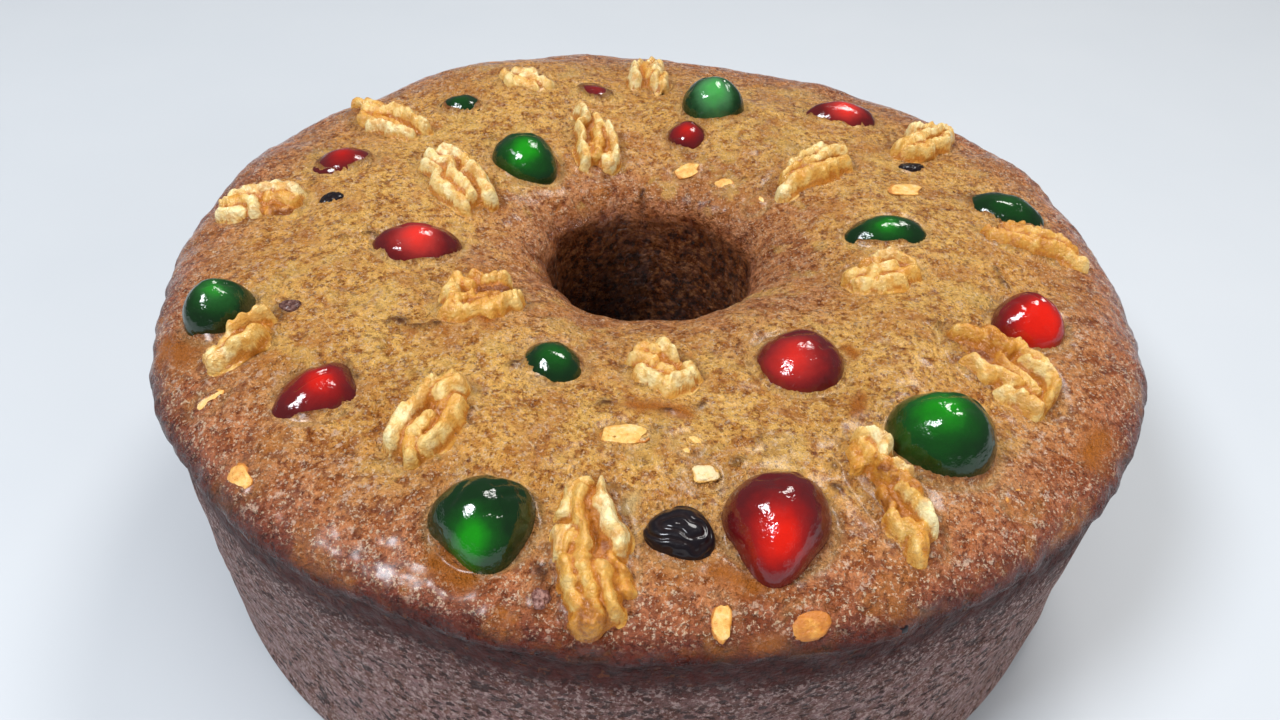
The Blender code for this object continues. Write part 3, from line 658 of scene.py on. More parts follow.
chipLook = {
    "rings": 14,
    "sides": 24,
    "squareness": 0.85,     # power that squares the ball off a little when it is below 1
    "lump": 0.32,
    "lumpSize": 0.6,
    "lift": 0.45,           # half the thickness, as a share of the chip's rise
}


def domePoints(rings, sides):
    # Fall from the pole and turn round it, for rings of points between two poles
    fall = np.linspace(0.0, math.pi, rings + 2)[1:-1, None] + np.zeros((1, sides))
    around = np.linspace(0.0, math.tau, sides, endpoint=False)[None, :] + np.zeros((rings, 1))
    return fall, around


def withPoles(grid, top, bottom):
    return np.concatenate([[top], grid.reshape(-1, grid.shape[-1]), [bottom]])


def buildChips(material):
    # All the chips as one piece: squared-off balls, made lumpy, flattened and laid on the crust.
    # Their edges are browner than their tops.
    fall, around = domePoints(chipLook["rings"], chipLook["sides"])
    ball = np.stack([np.sin(fall) * np.cos(around), np.sin(fall) * np.sin(around), np.cos(fall)], axis=-1)
    ball = withPoles(ball, (0.0, 0.0, 1.0), (0.0, 0.0, -1.0))
    ball = np.sign(ball) * np.abs(ball) ** chipLook["squareness"]
    faces = domeFaces(*fall.shape)
    allPoints, allFaces, allPale = [], [], []
    for number, (angle, radius, length, width, rise, heading, pale) in enumerate(chips):
        turn, origin = seat(angle, radius, heading)
        lumps = latticeNoise(ball + number * 7.0, chipLook["lumpSize"], 31)[:, None]
        lumpy = ball * (1.0 + chipLook["lump"] * lumps)
        shape = lumpy * np.array([length / 2.0, width / 2.0, rise * chipLook["lift"]])
        allPoints.append(shape @ turn.T + origin)
        allFaces += [tuple(number * len(ball) + index for index in face) for face in faces]
        allPale.append(pale - 0.7 * (1.0 - smoothStep(lumpy[:, 2], 0.1, 0.6)))
    makePiece("nutChips", np.concatenate(allPoints), allFaces, material, [],
              {"pale": np.concatenate(allPale)})


def chipMaterial():
    graph = Graph("nutChip", {"Specular IOR Level": 0.7})
    place = graph.place()
    grain = graph.noise(place, 1.1, 4.0, 0.7)
    cloud = graph.noise(place, 2.6, 2.0, 0.6, 6.0)
    pale = graph.attribute("pale") * 0.8 + (grain - 0.5) * 1.1 + (cloud - 0.5) * 1.1
    colour = graph.ramp(pale + 0.2, [(0.0, (0.52, 0.17, 0.020)), (0.28, (0.64, 0.27, 0.040)),
                                     (0.6, (0.80, 0.46, 0.115)), (1.0, (0.84, 0.65, 0.36))])
    return graph.finish(Base_Color=colour, Roughness=graph.range(grain, 0.3, 0.7, 0.25, 0.5),
                        Normal=graph.bump(grain, 0.9, 0.8))


buildChips(chipMaterial())
print("chips built")


cherryLook = {
    "rings": 40,
    "sides": 80,
    "underside": 112.0,         # degrees from the pole to the flat bottom
    "bottomRings": (0.8, 0.5, 0.2),   # sizes of the rings that close the bottom
    "lopsided": (0.025, 0.02),  # heights of the outline's two-sided and three-sided waves
    "cornerWidth": 0.5,         # half width of a tip, in radians
    "halfHeight": 4.5,
    "halfHeightPerRise": 0.6,
    "dimple": 0.38,
    "dimpleSize": 6.5,
    "crinkle": 0.15,
    "crinkleSize": 2.0,
    # marks in a cherry's own plan, as seen with +X to the right: x1, y1, x2, y2, width, depth
    "marks": {
        "cherry_green_8": [(2, 3, 5, 5, 0.6, 0.5), (4, 1, 6.5, 3, 0.6, 0.5), (1, 5, 3, 7, 0.5, 0.4),
                           (1, -3, 5, -2, 0.7, 0.4), (-5, -1, -3, 3, 0.8, 0.3)],
        "cherry_red_9": [(-3, 1.5, -2, 2, 1.6, 0.5), (-4, 3.5, -1, 3.5, 0.6, 0.4), (3, 5, 5, 6, 0.8, 0.4)],
        "cherry_green_9": [(-2, 3, 1, 4, 0.7, 0.4), (4, 4, 6, 2, 0.7, 0.5), (-1, -1, 2, 0, 0.8, 0.3)],
        "cherry_red_8": [(-1, 4, 1, 0, 0.5, 0.5), (2, 4, 4, 1, 0.5, 0.5), (-4, 1, -3, -2, 0.6, 0.3)],
        "cherry_red_7": [(-3, 3, 2, 4, 0.7, 0.4), (4, -1, 6, 1, 0.6, 0.4)],
        "cherry_red_3": [(-3, -2, 2, 3, 0.7, 0.6)],
        "cherry_red_2": [(-4, 1, 2, 2, 0.6, 0.4)],
        "cherry_green_6": [(0, 0, 4, 3, 0.6, 0.4)],
        "cherry_green_3": [(-3, 2, 1, 4, 0.7, 0.4), (3, 0, 4, -3, 0.7, 0.4)],
        "cherry_green_2": [(-4, 2, 1, 3, 0.7, 0.4)],
    },
    # corners in plan: heading, reach and half width in radians
    "corners": {
        "cherry_red_3": [(218.0, 2.2, 0.40), (72.0, 0.9, 0.35), (0.0, 1.0, 0.35), (140.0, -1.2, 0.5)],
        "cherry_green_6": [(45.0, 1.4, 0.40), (225.0, 0.6, 0.5)],
        "cherry_green_9": [(140.0, 1.3, 0.50), (30.0, 0.8, 0.5)],
        "cherry_green_8": [(42.0, 1.2, 0.40), (185.0, 0.9, 0.4), (120.0, -0.6, 0.4)],
        "cherry_red_2": [(180.0, 1.3, 0.35), (30.0, 0.8, 0.4)],
        "cherry_red_9": [(263.0, 0.6, 0.25), (222.0, -0.35, 0.4), (306.0, -0.35, 0.4)],
        "cherry_red_8": [(200.0, 0.9, 0.4)],
    },
    # how milky the core is
    "milk": {
        "cherry_red_2": 0.10, "cherry_red_6": 0.08, "cherry_red_7": 0.05,
        "cherry_green_3": 0.28, "cherry_green_6": 0.05,
    },
    # how bright the core of painted light is, where it isn't 1
    "brightness": {
        "cherry_red_4": 0.25, "cherry_red_1": 0.6, "cherry_red_5": 0.65, "cherry_red_3": 0.85,
        "cherry_green_1": 0.25, "cherry_green_5": 0.35, "cherry_green_6": 0.8, "cherry_green_7": 0.55,
        "cherry_green_4": 0.75, "cherry_red_8": 1.2, "cherry_red_7": 0.8, "cherry_green_9": 0.9,
    },
    # middle of the bright core of painted light over the cherry's plan, and its reach, as shares of the
    # cherry
    "cores": {
        "cherry_red_3": (0.2, 0.0, 0.6), "cherry_red_7": (-0.25, -0.45, 0.60),
        "cherry_red_8": (0.0, -0.6, 0.8), "cherry_red_9": (-0.12, -0.78, 0.55),
        "cherry_green_6": (0.3, -0.1, 0.5), "cherry_green_8": (-0.10, -0.80, 0.50),
        "cherry_green_9": (-0.35, -0.05, 0.65),
    },
    "coreBack": 0.055,     # how far to the front the core lies otherwise, for each millimetre of rise
    "coreReach": 0.58,
}


def buildCherries(kind, rows, material):
    # A dome whose fall runs from the pole to the underside, drawn in to a flat bottom. It is
    # spread so that its visible patch at the crust has the length and width asked for.
    source = random.Random(kind)
    rings, sides = cherryLook["rings"], cherryLook["sides"]
    underside = math.radians(cherryLook["underside"])
    turns = np.linspace(0.0, math.tau, sides, endpoint=False)[None, :]
    fall = np.linspace(0.0, underside, rings + 1)[1:, None] + 0.0 * turns
    fall = np.concatenate([fall, np.full((len(cherryLook["bottomRings"]), sides), underside)])
    shrink = np.concatenate([np.ones(rings), cherryLook["bottomRings"]])[:, None]
    twoSided, threeSided = cherryLook["lopsided"]
    around = turns + 0.0 * fall
    for number, (angle, radius, length, width, rise, heading, tip, tipHeading) in enumerate(rows, 1):
        name = f"cherry_{kind}_{number}"
        turn, origin = seat(angle, radius, heading)
        halfHeight = cherryLook["halfHeight"] + cherryLook["halfHeightPerRise"] * rise
        depth = halfHeight - rise
        spread = 0.5 / math.sqrt(1.0 - (depth / halfHeight) ** 2)
        phases = [source.uniform(0.0, math.tau) for _ in range(2)]
        reach = np.sin(fall) * shrink
        lumps = 1.0 + twoSided * np.cos(2.0 * around + phases[0])
        lumps = lumps + threeSided * np.cos(3.0 * around + phases[1])
        offTip = (around - math.radians(tipHeading - heading) + math.pi) % math.tau - math.pi
        point = tip * bell(offTip, cherryLook["cornerWidth"]) * reach ** 3
        for cornerHeading, cornerReach, cornerSpread in cherryLook["corners"].get(name, []):
            offCorner = (around - math.radians(cornerHeading - heading) + math.pi) % math.tau - math.pi
            point = point + cornerReach * bell(offCorner, cornerSpread) * reach ** 3
        x = (reach * length * spread * lumps + point) * np.cos(around)
        y = (reach * width * spread * lumps + point) * np.sin(around)
        z = halfHeight * np.cos(fall) - depth
        grid = withPoles(np.stack([x, y, z], axis=-1), (0.0, 0.0, halfHeight - depth), (0.0, 0.0, z[-1, 0]))
        # the turn from the cherry's own plan to the picture's: x to the right, y away
        spin = math.radians(heading)
        planX = grid[:, 0] * math.cos(spin) - grid[:, 1] * math.sin(spin)
        planY = grid[:, 0] * math.sin(spin) + grid[:, 1] * math.cos(spin)
        up = smoothStep(grid[:, 2], -depth * 0.6, rise * 0.4)
        dimples = cherryLook["dimple"] * cloudNoise(grid + number * 13.0, cherryLook["dimpleSize"], 41, 2)
        crinkles = cherryLook["crinkle"] * latticeNoise(grid + number * 17.0, cherryLook["crinkleSize"], 45)
        dents = (dimples + crinkles) * up
        for *line, markWidth, markDepth in cherryLook["marks"].get(name, []):
            dents = dents - markDepth * bell(lineDistance(planX, planY, line)[0], markWidth) * up
        direction = grid / np.array([length, width, halfHeight]) + np.array([0.0, 0.0, 0.3])
        direction /= np.maximum(np.linalg.norm(direction, axis=-1, keepdims=True), 1e-6)
        grid = grid + direction * dents[:, None]
        # Painted light: the core is a bright patch where light gathers inside the cherry, set towards the
        # front.
        usual = (0.0, -cherryLook["coreBack"] * rise, cherryLook["coreReach"])
        coreX, coreY, coreReach = cherryLook["cores"].get(name, usual)
        size = (length + width) / 4.0
        core = bell(np.hypot(planX - coreX * size, planY - coreY * size) / size, coreReach)
        core = core * cherryLook["brightness"].get(name, 1.0)
        # Painted shade: the skin darkens towards the crust, below 0.55 of the rise.
        rim = 1.0 - smoothStep(grid[:, 2], 0.0, rise * 0.55)
        points = grid @ turn.T + origin
        milk = np.full(len(points), cherryLook["milk"].get(name, 0.0))
        makePiece(name, points, domeFaces(*fall.shape), material, [name],
                  {"core": core, "rim": rim, "milk": milk})


def cherryMaterial(name, deep, middle, bright, milky):
    # Dark and clear at the rim, and darker still where it meets the crust (painted shade), with painted
    # light gathered in the core, which also glows faintly by emission
    graph = Graph(name, {"Specular IOR Level": 0.6, "Emission Strength": 0.2})
    place = graph.place()
    cloud = graph.noise(place, 4.0, 3.0, 0.55)
    # Painted light: the core lightens the clear colour from deep to bright.
    core = graph.attribute("core") + (cloud - 0.5) * 0.5
    clear = graph.ramp(core, [(0.05, deep), (0.5, middle), (0.92, bright)])
    colour = graph.blend(graph.attribute("milk") * graph.range(core, 0.1, 0.6), clear, milky)
    # Painted shade: the rim mask darkens the skin towards the crust.
    rimmed = graph.blend(graph.attribute("rim") * 0.6, colour, deep)
    skin = graph.noise(place, 1.8, 3.0, 0.55, 3.0)
    # Painted light: the core glows faintly by emission, though the cherry is no lamp.
    glow = graph.ramp(core, [(0.4, (0.0, 0.0, 0.0)), (1.0, bright)])
    roughness = graph.range(skin, 0.3, 0.7, 0.07, 0.16)
    return graph.finish(Base_Color=rimmed, Emission_Color=glow, Roughness=roughness,
                        Normal=graph.bump(skin, 0.45, 0.6))


redGlace = cherryMaterial("redGlace", deep=(0.080, 0.006, 0.007), middle=(0.25, 0.006, 0.005),
                          bright=(0.50, 0.008, 0.002), milky=(0.62, 0.16, 0.14))
greenGlace = cherryMaterial("greenGlace", deep=(0.003, 0.020, 0.004), middle=(0.004, 0.060, 0.005),
                            bright=(0.006, 0.19, 0.004), milky=(0.16, 0.42, 0.20))
buildCherries("red", redCherries, redGlace)
buildCherries("green", greenCherries, greenGlace)
print("cherries built")


walnutLook = {
    "shades": {3: 0.2, 4: 0.1, 5: -0.45, 8: -0.1, 12: -0.15, 17: -0.3},   # paler above 0, browner below
    "cell": 0.32,            # spacing of the points over a half
    "margin": 1.2,           # room round the strokes, where the skirt goes down into the crust
    "floor": -2.6,           # depth of the underside below the crust
    "skirt": 3.2,            # slope of the sides
    "softness": 0.34,        # how softly neighbouring folds run together
    "fatten": 1.2,           # how much wider the strokes are drawn than they are listed
    "bodyDrop": 0.42,        # how far the clefts go below the mean height round them
    "sway": 1.5,             # reach and size of the noise that bends the strokes
    "swaySize": 4.2,
    "wind": 1.5,             # reach and size of the noise that bends the fine folds
    "windSize": 4.0,
    "foldSize": 2.0,
    "foldDepth": 0.62,
    "grainSize": 1.2,
    "grainDepth": 0.34,
    "tuck": 0.22,            # how far the skirt is drawn in below the crust
    "blurCells": 4,
    # The folds of each half in its own plan, as strokes: from x, y to x, y, half widths at both
    # ends, height, and tone (1 is cream, 0 golden, -1 brown glaze). +X is the half's heading.
    "strokes": {
        1: [(-7, 2, -5, -2, 1.7, 1.7, 2.4, 0.6), (-2, 3.4, 3, 3, 1.7, 1.7, 2.4, 0.8),
            (0, 0, 5, -0.4, 1.8, 1.7, 2.6, 0.85), (-3.4, -1.6, 2, -3.6, 1.5, 1.5, 2, 0.4),
            (5, -1, 8, -3, 1.4, 1.3, 2, 0.5)],
        2: [(-14, 2, -6, 2.6, 1.7, 2, 3, 0.2), (-8, -0.5, -2, 0.6, 2, 1.9, 4, 0.45),
            (-7, -3.5, -2, -3.8, 1.8, 1.7, 3.2, 0.2), (-1, 2.6, 7, 2.2, 1.8, 1.8, 4.4, 0.55),
            (7, 2, 14, 0.6, 1.8, 1.6, 4, 0.5), (-2, -1.6, 6, -2, 1.4, 1.4, 3, -0.1),
            (-1, -4.8, 6, -5, 1.7, 1.7, 3.6, 0.9), (6, -4.8, 13, -4, 1.7, 1.5, 3.2, 0.8)],
        3: [(-13, 1.5, -8, 2.4, 1.7, 1.8, 4.6, 0.9), (-13.5, -1.5, -7, -2, 1.6, 1.7, 4, 0.6),
            (-10, -4.8, -2, -5.6, 1.6, 1.7, 3.6, 0.55), (-2, -5.8, 7, -6.4, 1.7, 1.7, 3.6, 0.5),
            (-6, -1, 2, -2.6, 1.6, 1.6, 4.6, 0.35), (2, -2.6, 12, -3, 1.6, 1.7, 4.6, 0.4),
            (-6, 2.6, 1, 2, 1.5, 1.6, 4.4, 0.35), (1, 1.6, 8, 1.8, 1.8, 1.9, 5.4, 0.6),
            (8, 1.6, 14.5, 0.6, 1.9, 1.8, 4.8, 0.5), (7, -6.4, 14, -5.5, 1.6, 1.8, 3.4, 0.45)],
        4: [(-7, 3, 0, 4, 2, 2, 3.8, 0.7), (0, 4, 7, 3.4, 2, 1.9, 3.8, 0.85),
            (-9, 0, -5, -1, 1.8, 1.8, 3.4, 0.3), (-9, -3.6, -5, -5, 1.6, 1.7, 3, 0.75),
            (-4.5, -1, -2, -0.5, 1.5, 1.5, 3.4, 0.6), (-2, -2.4, -1, -5.2, 1.6, 1.5, 3.6, 0.7),
            (1, 0.4, 7, -0.2, 1.6, 1.5, 3, 0.0), (2, -3.6, 6, -3.6, 1.3, 1.3, 1.8, -0.6)],
        5: [(-9.5, -0.5, -5.5, 3.5, 1.9, 1.9, 4.6, 0.8), (-5.5, 3.5, -2, 1, 1.7, 1.5, 4.2, 0.4),
            (-1.8, 5.5, 0.8, 3.8, 1.5, 1.6, 4.6, 0.2), (2, 2.6, 6.5, 3, 1.9, 1.8, 5, 0.85),
            (1, 3.2, 3, 2, 1.2, 1.2, 4, 0.1), (-8.5, -3.5, -4.5, -3.2, 1.9, 1.8, 4, 0.5),
            (-10, -5, -6.5, -7.8, 1.5, 1.6, 3.2, 0.6), (-6, -7.8, 1.5, -7.2, 1.7, 1.7, 3.2, 0.55),
            (3, -8, 8, -5.6, 1.7, 1.6, 4, 0.75), (0, -1, 6, -0.6, 1.6, 1.5, 2.8, -0.75),
            (-3.5, -4.8, 3, -4, 1.7, 1.5, 3, 0.1)],
        6: [(0, 3, 9.8, 2.8, 1.9, 1.9, 4.8, 0.35), (-9, 0.2, -1, 2.6, 1.7, 1.7, 2.6, 0.75),
            (-9.5, -3, -4, -3.4, 2.2, 2.2, 3.4, 0.7), (-4, -3.4, 4, -3.2, 2.2, 1.9, 4.4, 0.3),
            (-6, -0.4, 3, -0.2, 1.3, 1.2, 2.4, -0.2), (4, -2.4, 7, -1.4, 1.3, 1.1, 1.6, -0.5)],
        7: [(-11, 1, -2.5, 3, 2, 2.3, 4.4, 0.75), (-2.5, 3, 7, 3.6, 2.3, 2, 4.2, 0.55),
            (5, -1, 9.5, -2, 2.4, 2.4, 4.6, 0.5), (5.5, -5, -1, -7, 1.4, 1.5, 3.6, 0.3),
            (-1, -7, -9, -5.8, 1.6, 1.7, 3.6, 0.5), (-8, -2.6, -3, -3, 1.8, 1.8, 4, 0.35),
            (0, -3, 3.5, -3.2, 1.5, 1.3, 2.6, -0.7), (-13, -4.5, -10, -3, 1.5, 1.6, 3, 0.4),
            (8, 1.8, 11, 0.5, 1.5, 1.3, 3.4, 0.2)],
        8: [(13.5, -0.8, 7.6, -2.4, 1.3, 1.7, 5, 0.9), (7.6, -2.4, 3, -4, 1.7, 1.9, 5, 1),
            (3, -4, -1.5, -5.4, 1.9, 1.5, 4.6, 0.95), (14, 2.5, 12, 5, 1.5, 1.4, 4, 0.5),
            (12, 5, 9.5, 4.8, 1.4, 1.4, 3.6, 0.8), (8, 5.8, 5.5, 6, 1.3, 1.3, 3.2, 0.7),
            (11, 2.8, 4, 3.2, 1.9, 2, 5, 0.2), (12, 1, 2, 0.6, 1.1, 1.1, 3.2, -0.4),
            (1.5, 6.2, -2.3, 6.2, 1.6, 1.5, 3.6, 0.9), (1, 4, -2, 4, 1.3, 1.3, 4, 0.3),
            (2, 1.8, -4.6, 1.8, 1.3, 1.4, 5.4, 0.45), (-1, -1.5, -4, -3, 1.8, 1.8, 2.6, -0.8),
            (-3, -3.4, -6.5, -6.3, 1.1, 1.1, 3, -0.2), (-6.5, -6, -10, -6.3, 1.2, 1, 2.2, 0.1),
            (-5, 4.4, -9.5, 4.2, 1.7, 1.6, 4.6, 0.3), (-9.5, 4.2, -14, 2.8, 1.6, 1.4, 4, 0.25),
            (-5.5, 0.8, -10, 0.6, 1.8, 1.9, 5.4, 0.35), (-10, 0.8, -14, -0.2, 1.9, 1.8, 5, 0.2),
            (-6.5, -2.8, -14, -3.8, 1.7, 1.6, 5, 0.35), (-14, 0.4, -17.5, 1.2, 2.6, 2.1, 4.4, -0.5)],
        9: [(-12.8, -0.5, -11.8, 2.6, 1.5, 1.5, 4.6, 0.5), (-11.8, 2.6, -8, 3.2, 1.5, 1.7, 5, 0.95),
            (-8, 3.2, -6, 1.4, 1.7, 1.4, 5, 0.85), (-10.5, -1, -7, -1.6, 1.8, 1.9, 3.6, 0.2),
            (-11, -3.4, -6, -5, 1.6, 1.5, 2.4, -0.1), (-5.5, -0.8, -2.5, 0.6, 1.4, 1.5, 4.6, -0.1),
            (-2, 2, 1.5, 3.4, 1.6, 1.7, 5, 0.8), (-2.5, -1, 1.5, -0.5, 1.5, 1.6, 4, -0.45),
            (1.5, 1, 5, 2.4, 1.6, 1.5, 4.6, -0.2), (4.5, -0.8, 6, -0.6, 1.3, 1.3, 4.4, 0.5),
            (6.5, 0.4, 9, 0.8, 1.7, 1.7, 4.2, 0.4), (10, 0.9, 13.5, 0.4, 1.8, 1.6, 4.8, 0.9),
            (2, -4, 6, -5, 1.3, 1.4, 2.4, -0.6), (8, -6.6, 12, -5.4, 1.3, 1.5, 3, 0.2),
            (11.5, -4.5, 14, -3.4, 1.7, 1.7, 3.8, 0.1), (13.5, -2, 17, -4.5, 1.7, 1.7, 3.8, -0.2),
            (15, -5, 17.5, -6, 1.6, 1.5, 3.2, 0.1)],
        10: [(-13, -1.5, -6.5, 2.5, 2, 3, 4.5, -0.1), (-9, 5, -2, 7, 2, 2.4, 4, -0.2),
             (-6, 1.5, 0, 4.5, 2, 2.2, 5.5, -0.35), (0, 7, 7, 6.2, 1.8, 2, 5.5, 0.3),
             (7, 6.2, 14, 1, 2, 1.7, 5.5, 0.45), (5, 2.5, 9, 3, 1.8, 1.8, 6, 0.6),
             (14, 1, 15.5, -3, 1.7, 1.6, 4.5, 0.2), (-4.5, -8.2, 2, -7.4, 1.8, 2, 3.2, 0.3),
             (2, -6.5, 7.5, -5.2, 2, 2, 4, 0.35), (6, -9.5, 12, -8, 1.6, 1.9, 3, 0.6),
             (11, -7.5, 16, -7.5, 2, 1.6, 3.6, 0.5), (-8.5, -4.8, -1, -2.6, 1.1, 1, 2.2, -0.9),
             (-1, 0, 5, -1.5, 1.4, 1.4, 3.6, -0.2), (5, -1.8, 12, -3.5, 1.6, 1.6, 4, 0.2)],
        11: [(-3, 4.2, 1.8, 1.8, 1.8, 1.7, 4.8, 0.75), (-6, 1.5, -2, 0.8, 1.7, 1.7, 4, 0.3),
             (-5.5, -2, -1.5, -2.2, 1.8, 1.7, 3.6, 0.35), (-1.5, -5.8, 2, -6, 1.7, 1.7, 3.2, 0.65),
             (2.5, -6, 6, -6, 1.6, 1.6, 3, 0.4), (6.5, -4.6, 8, -1.8, 1.6, 1.6, 4.4, 0.85),
             (6.2, 0.2, 7.4, 1.4, 1.3, 1.3, 3.8, 0.6), (1.5, -2.5, 4, -2.6, 1.4, 1.3, 3, 0.1),
             (3.2, 0.4, 4.4, 1.6, 1.1, 1.1, 2, -0.8)],
        12: [(0, 3, 5, 4, 1.8, 1.9, 4, 0.85), (5.5, 2.5, 8.5, -0.5, 1.7, 1.6, 3.6, 0.5),
             (-3.5, 2, -1, 1, 1.4, 1.4, 3.4, 0.0), (-9, -1, -5.5, -1.5, 1.9, 1.9, 3.4, 0.45),
             (-8, -4.5, -4.5, -5, 1.6, 1.6, 2.8, 0.6), (-3, -2.5, 2, -2, 1.9, 1.9, 4, 0.7),
             (-1.5, -5.6, 3, -5.6, 1.6, 1.6, 3, 0.5), (4, -3.5, 8, -3.4, 1.6, 1.5, 3, 0.25)],
        13: [(-15, -2.6, -8, -2.2, 1.5, 1.6, 4.6, 0.8), (-8, -2.8, 6, -5, 1.3, 1.3, 4, 0.5),
             (-10, 1.6, -5, 2.2, 1.7, 1.8, 3.6, 0.55), (-3, 4, 5, 5, 1.9, 2, 5, 0.7),
             (5, 5, 14, 5, 2, 1.9, 4.6, 0.6), (-2, 0.5, 6, 0, 1.7, 1.7, 4.6, 0.3),
             (6, -1, 12, -1, 1.7, 1.7, 4, 0.0), (6, -4.6, 12, -4.8, 1.6, 1.8, 4, 0.6),
             (12, -4.6, 16, -3.6, 1.8, 1.6, 3.4, 0.8), (12.5, 2, 16.5, 3.6, 1.7, 1.7, 3.6, 0.8)],
        14: [(-8, 4.6, 2, 4.8, 1.8, 1.8, 4.4, 0.85), (2, 3.6, 8, 3, 1.6, 1.6, 3.6, 0.5),
             (6, 0, 10, -0.6, 1.6, 1.6, 3.6, 0.6), (-6, 1, 3, 0.8, 1.5, 1.5, 4, 0.1),
             (-9, -2, 0, -1.8, 1.8, 1.8, 4.6, 0.7), (0, -2, 6, -3, 1.7, 1.6, 4, 0.6),
             (-10, -5, -3, -4.8, 1.5, 1.6, 3.2, 0.5)],
        15: [(-16, -3, -12, -4, 1.8, 1.9, 3.8, 0.9), (-12, -3.6, -5, -4.4, 2, 2, 4.6, 0.25),
             (-5, -4.4, 3, -5.4, 2, 1.9, 4.6, 0.15), (3, -5.4, 9, -5, 1.8, 1.6, 3.8, 0.2),
             (-12, -0.4, -6, 0.2, 1.6, 1.6, 4.4, 0.35), (-5.5, 2.5, -1.5, 4.2, 1.7, 1.7, 4.2, 0.7),
             (-3, -0.6, 4, -1, 1.7, 1.7, 5, 0.4), (0, 3.6, 6, 4, 1.8, 1.8, 4.4, 0.75),
             (5, 0.8, 12, 0.6, 1.8, 1.7, 4.2, 0.5), (8, 3.4, 13, 2.6, 1.5, 1.4, 3.4, 0.55)],
        16: [(-14, -2, -9, -1, 2, 2, 4, 0.3), (-12, -5, -5, -6, 1.8, 1.9, 3.6, 0.35),
             (-5, -6, 4, -6, 1.9, 1.8, 3.8, 0.45), (4, -5.6, 10, -3.6, 1.8, 1.7, 3.8, 0.6),
             (-8, -2.4, -1, -2.2, 1.7, 1.7, 4.4, 0.6), (-3, 2, 2, 3.6, 1.7, 1.8, 4.6, 0.75),
             (3, 3.4, 7, 2.6, 1.6, 1.6, 4.2, 0.5), (0, -1, 7, -1, 1.7, 1.7, 4.4, 0.65),
             (7.5, 0.8, 12.5, -0.6, 1.7, 1.5, 3.8, 0.75)],
        17: [(-14.5, -1, -11, -2.5, 1.6, 1.7, 2.6, 0.2), (-10.5, -3, -6.5, -3.6, 1.8, 1.9, 3.4, 0.3),
             (-6, -3.6, -2, -4, 1.8, 1.8, 3.4, 0.4), (-1.5, -3.2, 3, -3.8, 1.9, 1.9, 3.8, 0.1),
             (3.5, -3, 8, -3.8, 2, 1.9, 4, 0.5), (8, -3.8, 12, -5, 1.9, 1.8, 3.4, 0.7),
             (-9.5, 1.5, -5, 2.5, 2, 2, 3.6, -0.35), (-8, 4.5, -4, 5.5, 1.8, 1.8, 3.2, 0.1),
             (-3.5, 1, 0, 2.5, 1.8, 1.8, 4.2, 0.6), (1, 1.5, 5, 1, 1.9, 1.9, 4.6, 0.5),
             (5.5, 1, 10, -1, 1.9, 1.7, 4.2, 0.3), (-7, 0, -2, -1, 1.4, 1.4, 3.2, 0.5)],
    },
}


def fittedStrokes(strokes, length, width, rise):
    # The strokes moved and scaled so that they just fill the half's length, width and rise
    rows = np.array(strokes, float)
    rows[:, [4, 5]] *= walnutLook["fatten"]
    xs, ys, halves = rows[:, [0, 2]], rows[:, [1, 3]], rows[:, [4, 5]]
    lowX, highX = (xs - halves).min(), (xs + halves).max()
    lowY, highY = (ys - halves).min(), (ys + halves).max()
    scaleX, scaleY = length / (highX - lowX), width / (highY - lowY)
    rows[:, [0, 2]] = (xs - (lowX + highX) / 2.0) * scaleX
    rows[:, [1, 3]] = (ys - (lowY + highY) / 2.0) * scaleY
    rows[:, [4, 5]] *= (scaleX + scaleY) / 2.0
    rows[:, 6] *= (rise + 0.3) / rows[:, 6].max()
    return rows


def blurred(values, cells):
    # Mean over a square of cells each way, twice, which is close to a soft round blur
    for _ in range(2):
        for axis in range(2):
            total = 0.0
            for shift in range(-cells, cells + 1):
                total = total + np.roll(values, shift, axis=axis)
            values = total / (2 * cells + 1)
    return values


def strokeField(x, y, strokes):
    # Height and tone of the folds: each stroke is a rounded ridge, height sqrt(1 - (d / half)^2)
    # at d from its line, with a steep skirt beyond. They join by a soft maximum, k ln(sum e^(z/k)).
    heights, tones = [], []
    for *line, half1, half2, top, tone in strokes:
        away, share = lineDistance(x, y, line)
        half = half1 + (half2 - half1) * share
        inside = top * np.sqrt(np.clip(1.0 - (away / half) ** 2, 0.0, 1.0))
        heights.append(np.where(away < half, inside, -walnutLook["skirt"] * (away - half)))
        tones.append(tone)
    stack = np.stack(heights)
    weights = np.exp(np.clip(stack / walnutLook["softness"], -60.0, 60.0))
    total = weights.sum(axis=0)
    tone = (weights * np.array(tones)[:, None, None]).sum(axis=0) / total
    return walnutLook["softness"] * np.log(total), tone


